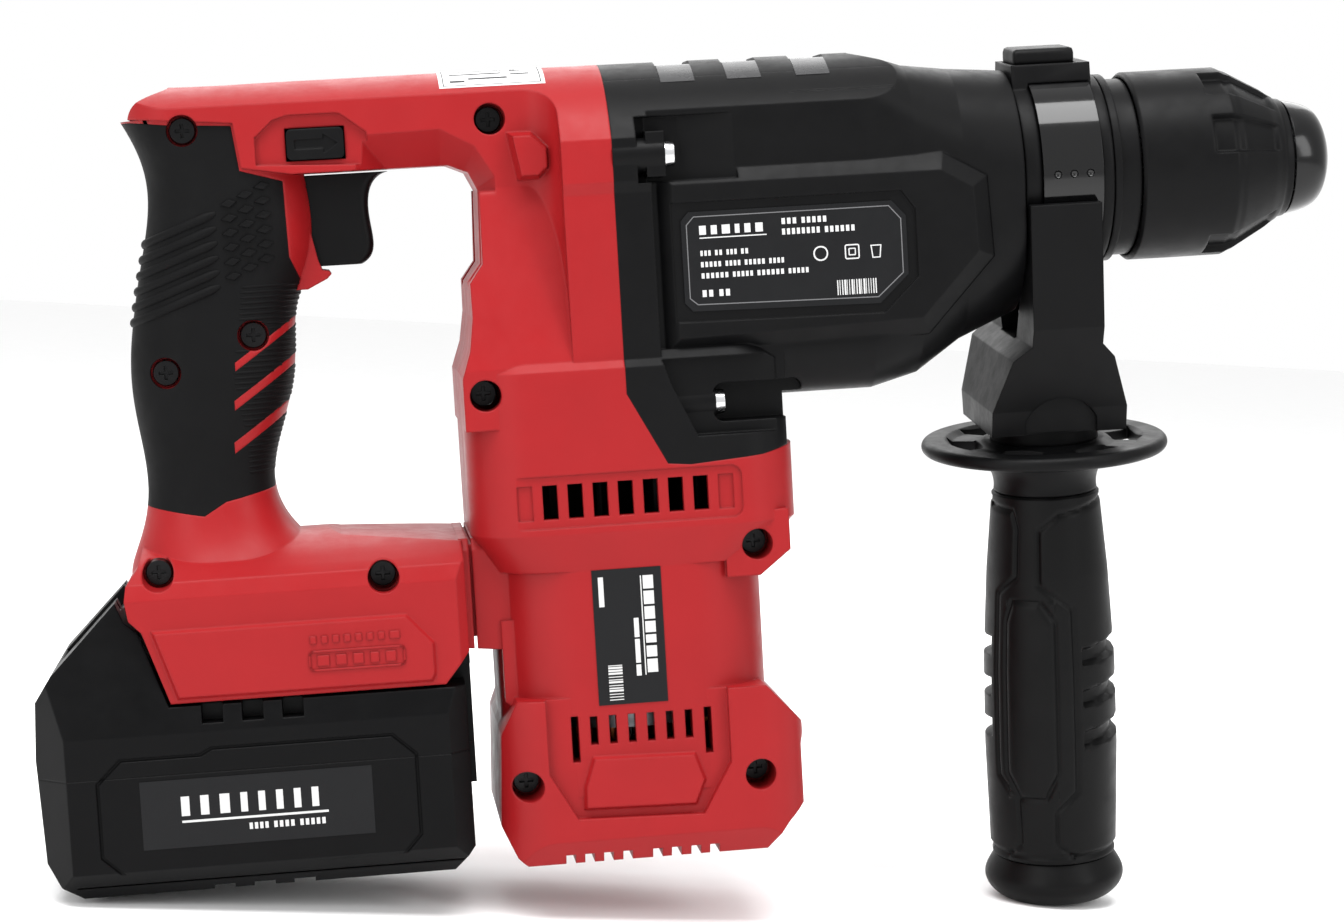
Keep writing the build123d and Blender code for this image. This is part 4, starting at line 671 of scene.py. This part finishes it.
# Columns of blocks: X from the front edge, width, then each block's drop from the top, length.
LABEL_COLUMNS = [
    (0.0057, 0.0003, [(0.0022, 0.0268)]),
    (0.0050, 0.0028, [(0.0022, 0.0036), (0.0064, 0.0036), (0.0106, 0.0034), (0.0146, 0.0030),
                      (0.0182, 0.0022), (0.0212, 0.0030), (0.0248, 0.0036)]),
    (0.0080, 0.0013, [(0.0135, 0.0052), (0.0192, 0.0064), (0.0261, 0.0030)]),
    (0.0170, 0.0014, [(0.0020, 0.0080)]),
]
marks = []
for inset, width, blocks in LABEL_COLUMNS:
    x = barrel[2] - inset
    marks += [rectangle(x, barrel[3] - top - tall, x + width, barrel[3] - top)
              for top, tall in blocks]
marks += bar_code(barrel[0] + 0.0030, barrel[0] + 0.0068, barrel[1] + 0.0012,
                  barrel[1] + 0.0112, upright=True, count=13)
print_on("motor_label_marks", BODY_TREE, marks, WHITE, "housing", lift=LABEL_MARKS_LIFT)

# Label on the battery's side.
PACK_TREE = skin_of("battery_case_upper", "battery_case_lower")
panel = (-0.3342, -0.1645, -0.2732, -0.1463)
PANEL_THICK = 0.0001
PANEL_MARKS_LIFT = 0.00022
print_on("battery_label", PACK_TREE, [rectangle(*panel)], PLATE, "battery", lift=PANEL_THICK,
         thick=PANEL_THICK)
marks = bars_of_text(panel[0] + 0.0105, panel[0] + 0.0495, panel[3] - 0.0098, 0.0052,
                     (0.13, 0.26, 0.40, 0.52, 0.64, 0.76, 0.88))
marks.append(rectangle(panel[0] + 0.0105, panel[3] - 0.0116, panel[0] + 0.0490,
                       panel[3] - 0.0110))
marks += bars_of_text(panel[0] + 0.0280, panel[0] + 0.0495, panel[3] - 0.0146, 0.0017,
                      (0.3, 0.62))
print_on("battery_label_marks", PACK_TREE, marks, WHITE, "battery", lift=PANEL_MARKS_LIFT)

# Moulded badge on the foot.
badge = (-0.2878, -0.1205, -0.2622, -0.1110)
frame_marks = border(rounded(badge[0], badge[1], badge[2], badge[1] + 0.0056, 0.0012), 0.0006)
frame_marks += bars_of_text(badge[0] + 0.0022, badge[2] - 0.0008, badge[1] + 0.0013, 0.0030,
                            (0.22, 0.42, 0.62, 0.8))
frame_marks += bars_of_text(badge[0] + 0.0006, badge[2], badge[3] - 0.0022, 0.0022,
                            (0.12, 0.24, 0.36, 0.48, 0.6, 0.72, 0.84))
points, faces = stamp(frame_marks, BODY_TREE, -1, -0.0002, 0.00042, slope=0.00008)
piece("foot_badge", points, faces, RED, "housing", smooth=False)


DRAPE_PITCH = 0.0008


def on_crown(tree, x, y):
    """Point and normal where a line dropped from above meets the surface."""
    point, normal, _, _ = tree.ray_cast(Vector((x, y, 0.1)), Vector((0.0, 0.0, -1.0)))
    return point, normal


def draped(tree, outlines, low, high):
    """Low prisms on a crown: outlines in X and Y, split across to follow the curve."""
    points, faces = [], []
    for x0, y0, x1, y1 in outlines:
        rows = max(1, int(abs(y1 - y0) / DRAPE_PITCH))
        base = len(points)
        for i in range(rows + 1):
            for x in (x0, x1):
                point, normal = on_crown(tree, x, y0 + (y1 - y0) * i / rows)
                points.append(point + normal * low)
                points.append(point + normal * high)
        for i in range(rows):
            a, b = base + 4 * i, base + 4 * (i + 1)
            faces += [(a + 1, a + 3, b + 3, b + 1), (a, b, b + 2, a + 2), (a, a + 1, b + 1, b),
                      (a + 2, b + 2, b + 3, a + 3)]
        last = base + 4 * rows
        faces += [(base, base + 2, base + 3, base + 1), (last, last + 1, last + 3, last + 2)]
    return points, faces


# Smooth windows between the ribs on the crest, down both sides of the crown: glossier than the
# housing, and coloured lighter than it as a painted sheen.
CREST_TREE = skin_of("gear_housing")
WINDOW_HALF_X, WINDOW_HALF_Y = 0.0046, 0.0222
windows = [(x - WINDOW_HALF_X, -WINDOW_HALF_Y, x + WINDOW_HALF_X, WINDOW_HALF_Y)
           for x in (-0.1795, -0.1615, -0.1428)]
points, faces = draped(CREST_TREE, windows, -0.0001, 0.0001)
piece("crest_windows_painted_sheen", points, faces, SHEEN_PAINTED_BLACK, "housing")

# Paper sticker that wraps over the crown of the arm: a ruled frame and broken lines on it.
sheet = (-0.2432, -0.0195, -0.2148, 0.0130)
points, faces = draped(BODY_TREE, [sheet], -0.0001, 0.00012)
piece("sticker", points, faces, PAPER, "housing")
rule = 0.0003
x0, y0, x1, y1 = sheet[0] + 0.0010, sheet[1] + 0.0008, sheet[2] - 0.0010, sheet[3] - 0.0010
ink = [(x0, y0, x0 + rule, y1), (x1 - rule, y0, x1, y1),
       (x0, y0, x1, y0 + rule), (x0, y1 - rule, x1, y1)]
STICKER_LINES = [(0.0030, 0.0040), (0.0080, 0.0105), (0.0195, 0.0050), (0.0030, 0.0140),
                 (0.0195, 0.0030), (0.0030, 0.0180)]
for i, (start, reach) in enumerate(STICKER_LINES):
    y = sheet[1] + 0.0028 + 0.0042 * (i // 2) + 0.0016 * (i % 2)
    ink.append((sheet[0] + start, y, sheet[0] + start + reach, y + 0.0012))
points, faces = draped(BODY_TREE, ink, 0.00006, 0.00018)
piece("sticker_marks", points, faces, INK, "housing")


# ---------------------------------------------------------------- camera, light and floor
TARGET = Vector((-184.6, 0.0, -74.5)) * MM
CAMERA_AZIMUTH = math.radians(-6.0)
CAMERA_ELEVATION = math.radians(5.0)
CAMERA_ROLL = math.radians(3.3)
CAMERA_DISTANCE = 881.5 * MM

toward = Vector((math.sin(CAMERA_AZIMUTH) * math.cos(CAMERA_ELEVATION),
                 -math.cos(CAMERA_AZIMUTH) * math.cos(CAMERA_ELEVATION),
                 math.sin(CAMERA_ELEVATION)))
level = Vector((math.cos(CAMERA_AZIMUTH), math.sin(CAMERA_AZIMUTH), 0.0))
upright = toward.cross(level)
right = level * math.cos(CAMERA_ROLL) - upright * math.sin(CAMERA_ROLL)
up = level * math.sin(CAMERA_ROLL) + upright * math.cos(CAMERA_ROLL)
camera = bpy.data.objects.new("camera", bpy.data.cameras.new("camera"))
camera.data.lens = 85.0
camera.data.sensor_width = 36.0
camera.matrix_world = Matrix((
    (right.x, up.x, toward.x, 0.0), (right.y, up.y, toward.y, 0.0),
    (right.z, up.z, toward.z, 0.0), (0.0, 0.0, 0.0, 1.0)))
camera.location = TARGET + toward * CAMERA_DISTANCE
bpy.context.scene.collection.objects.link(camera)
bpy.context.scene.camera = camera


def softbox(name, place, aim, width, height, power):
    """Rectangular studio light that faces aim."""
    light = bpy.data.lights.new(name, "AREA")
    light.shape = "RECTANGLE"
    light.size = width
    light.size_y = height
    light.energy = power
    lamp = bpy.data.objects.new(name, light)
    lamp.location = place
    lamp.rotation_euler = (Vector(aim) - Vector(place)).to_track_quat("-Z", "Y").to_euler()
    bpy.context.scene.collection.objects.link(lamp)


middle = (cad_box[0] + cad_box[1]) / 2
# name, place (X from the tool's middle), width, height, power
SOFTBOXES = [
    ("top", (0.0, -0.40, 1.10), 1.3, 0.6, 26.0),
    ("front left", (-1.0, -1.25, 0.60), 0.8, 1.0, 10.0),
    ("front right", (1.15, -1.1, 0.45), 0.4, 1.0, 8.0),
    ("back", (0.2, 1.1, 0.7), 1.4, 0.8, 8.0),
]
for name, (x, y, z), width, height, power in SOFTBOXES:
    softbox(name, (middle.x + x, y, z), middle, width, height, power)

world = bpy.data.worlds.new("studio")
bpy.context.scene.world = world
world.use_nodes = True
world.node_tree.nodes["Background"].inputs["Color"].default_value = (1.0, 1.0, 1.0, 1.0)
world.node_tree.nodes["Background"].inputs["Strength"].default_value = 1.0
bpy.context.scene.view_settings.view_transform = "Standard"

rear_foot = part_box("battery_case_lower")[0]
front_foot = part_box("grip_end_cap")
slope = (front_foot[0].z - rear_foot.z) / ((front_foot[0].x + front_foot[1].x) / 2 - rear_foot.x)
FLOOR_SIZE = 9.0
FLOOR_GAP = 0.0005
bpy.ops.mesh.primitive_plane_add(size=FLOOR_SIZE)
floor = bpy.context.object
floor.name = "floor"
floor.rotation_euler = (0.0, -math.atan(slope), 0.0)
floor.location = (rear_foot.x, 0.0, rear_foot.z - FLOOR_GAP)
FLOOR = surface("pale floor", (0.93, 0.93, 0.93), 0.7, edge=0.0, tone=0.01, grain=300.0)
paint(floor, FLOOR)
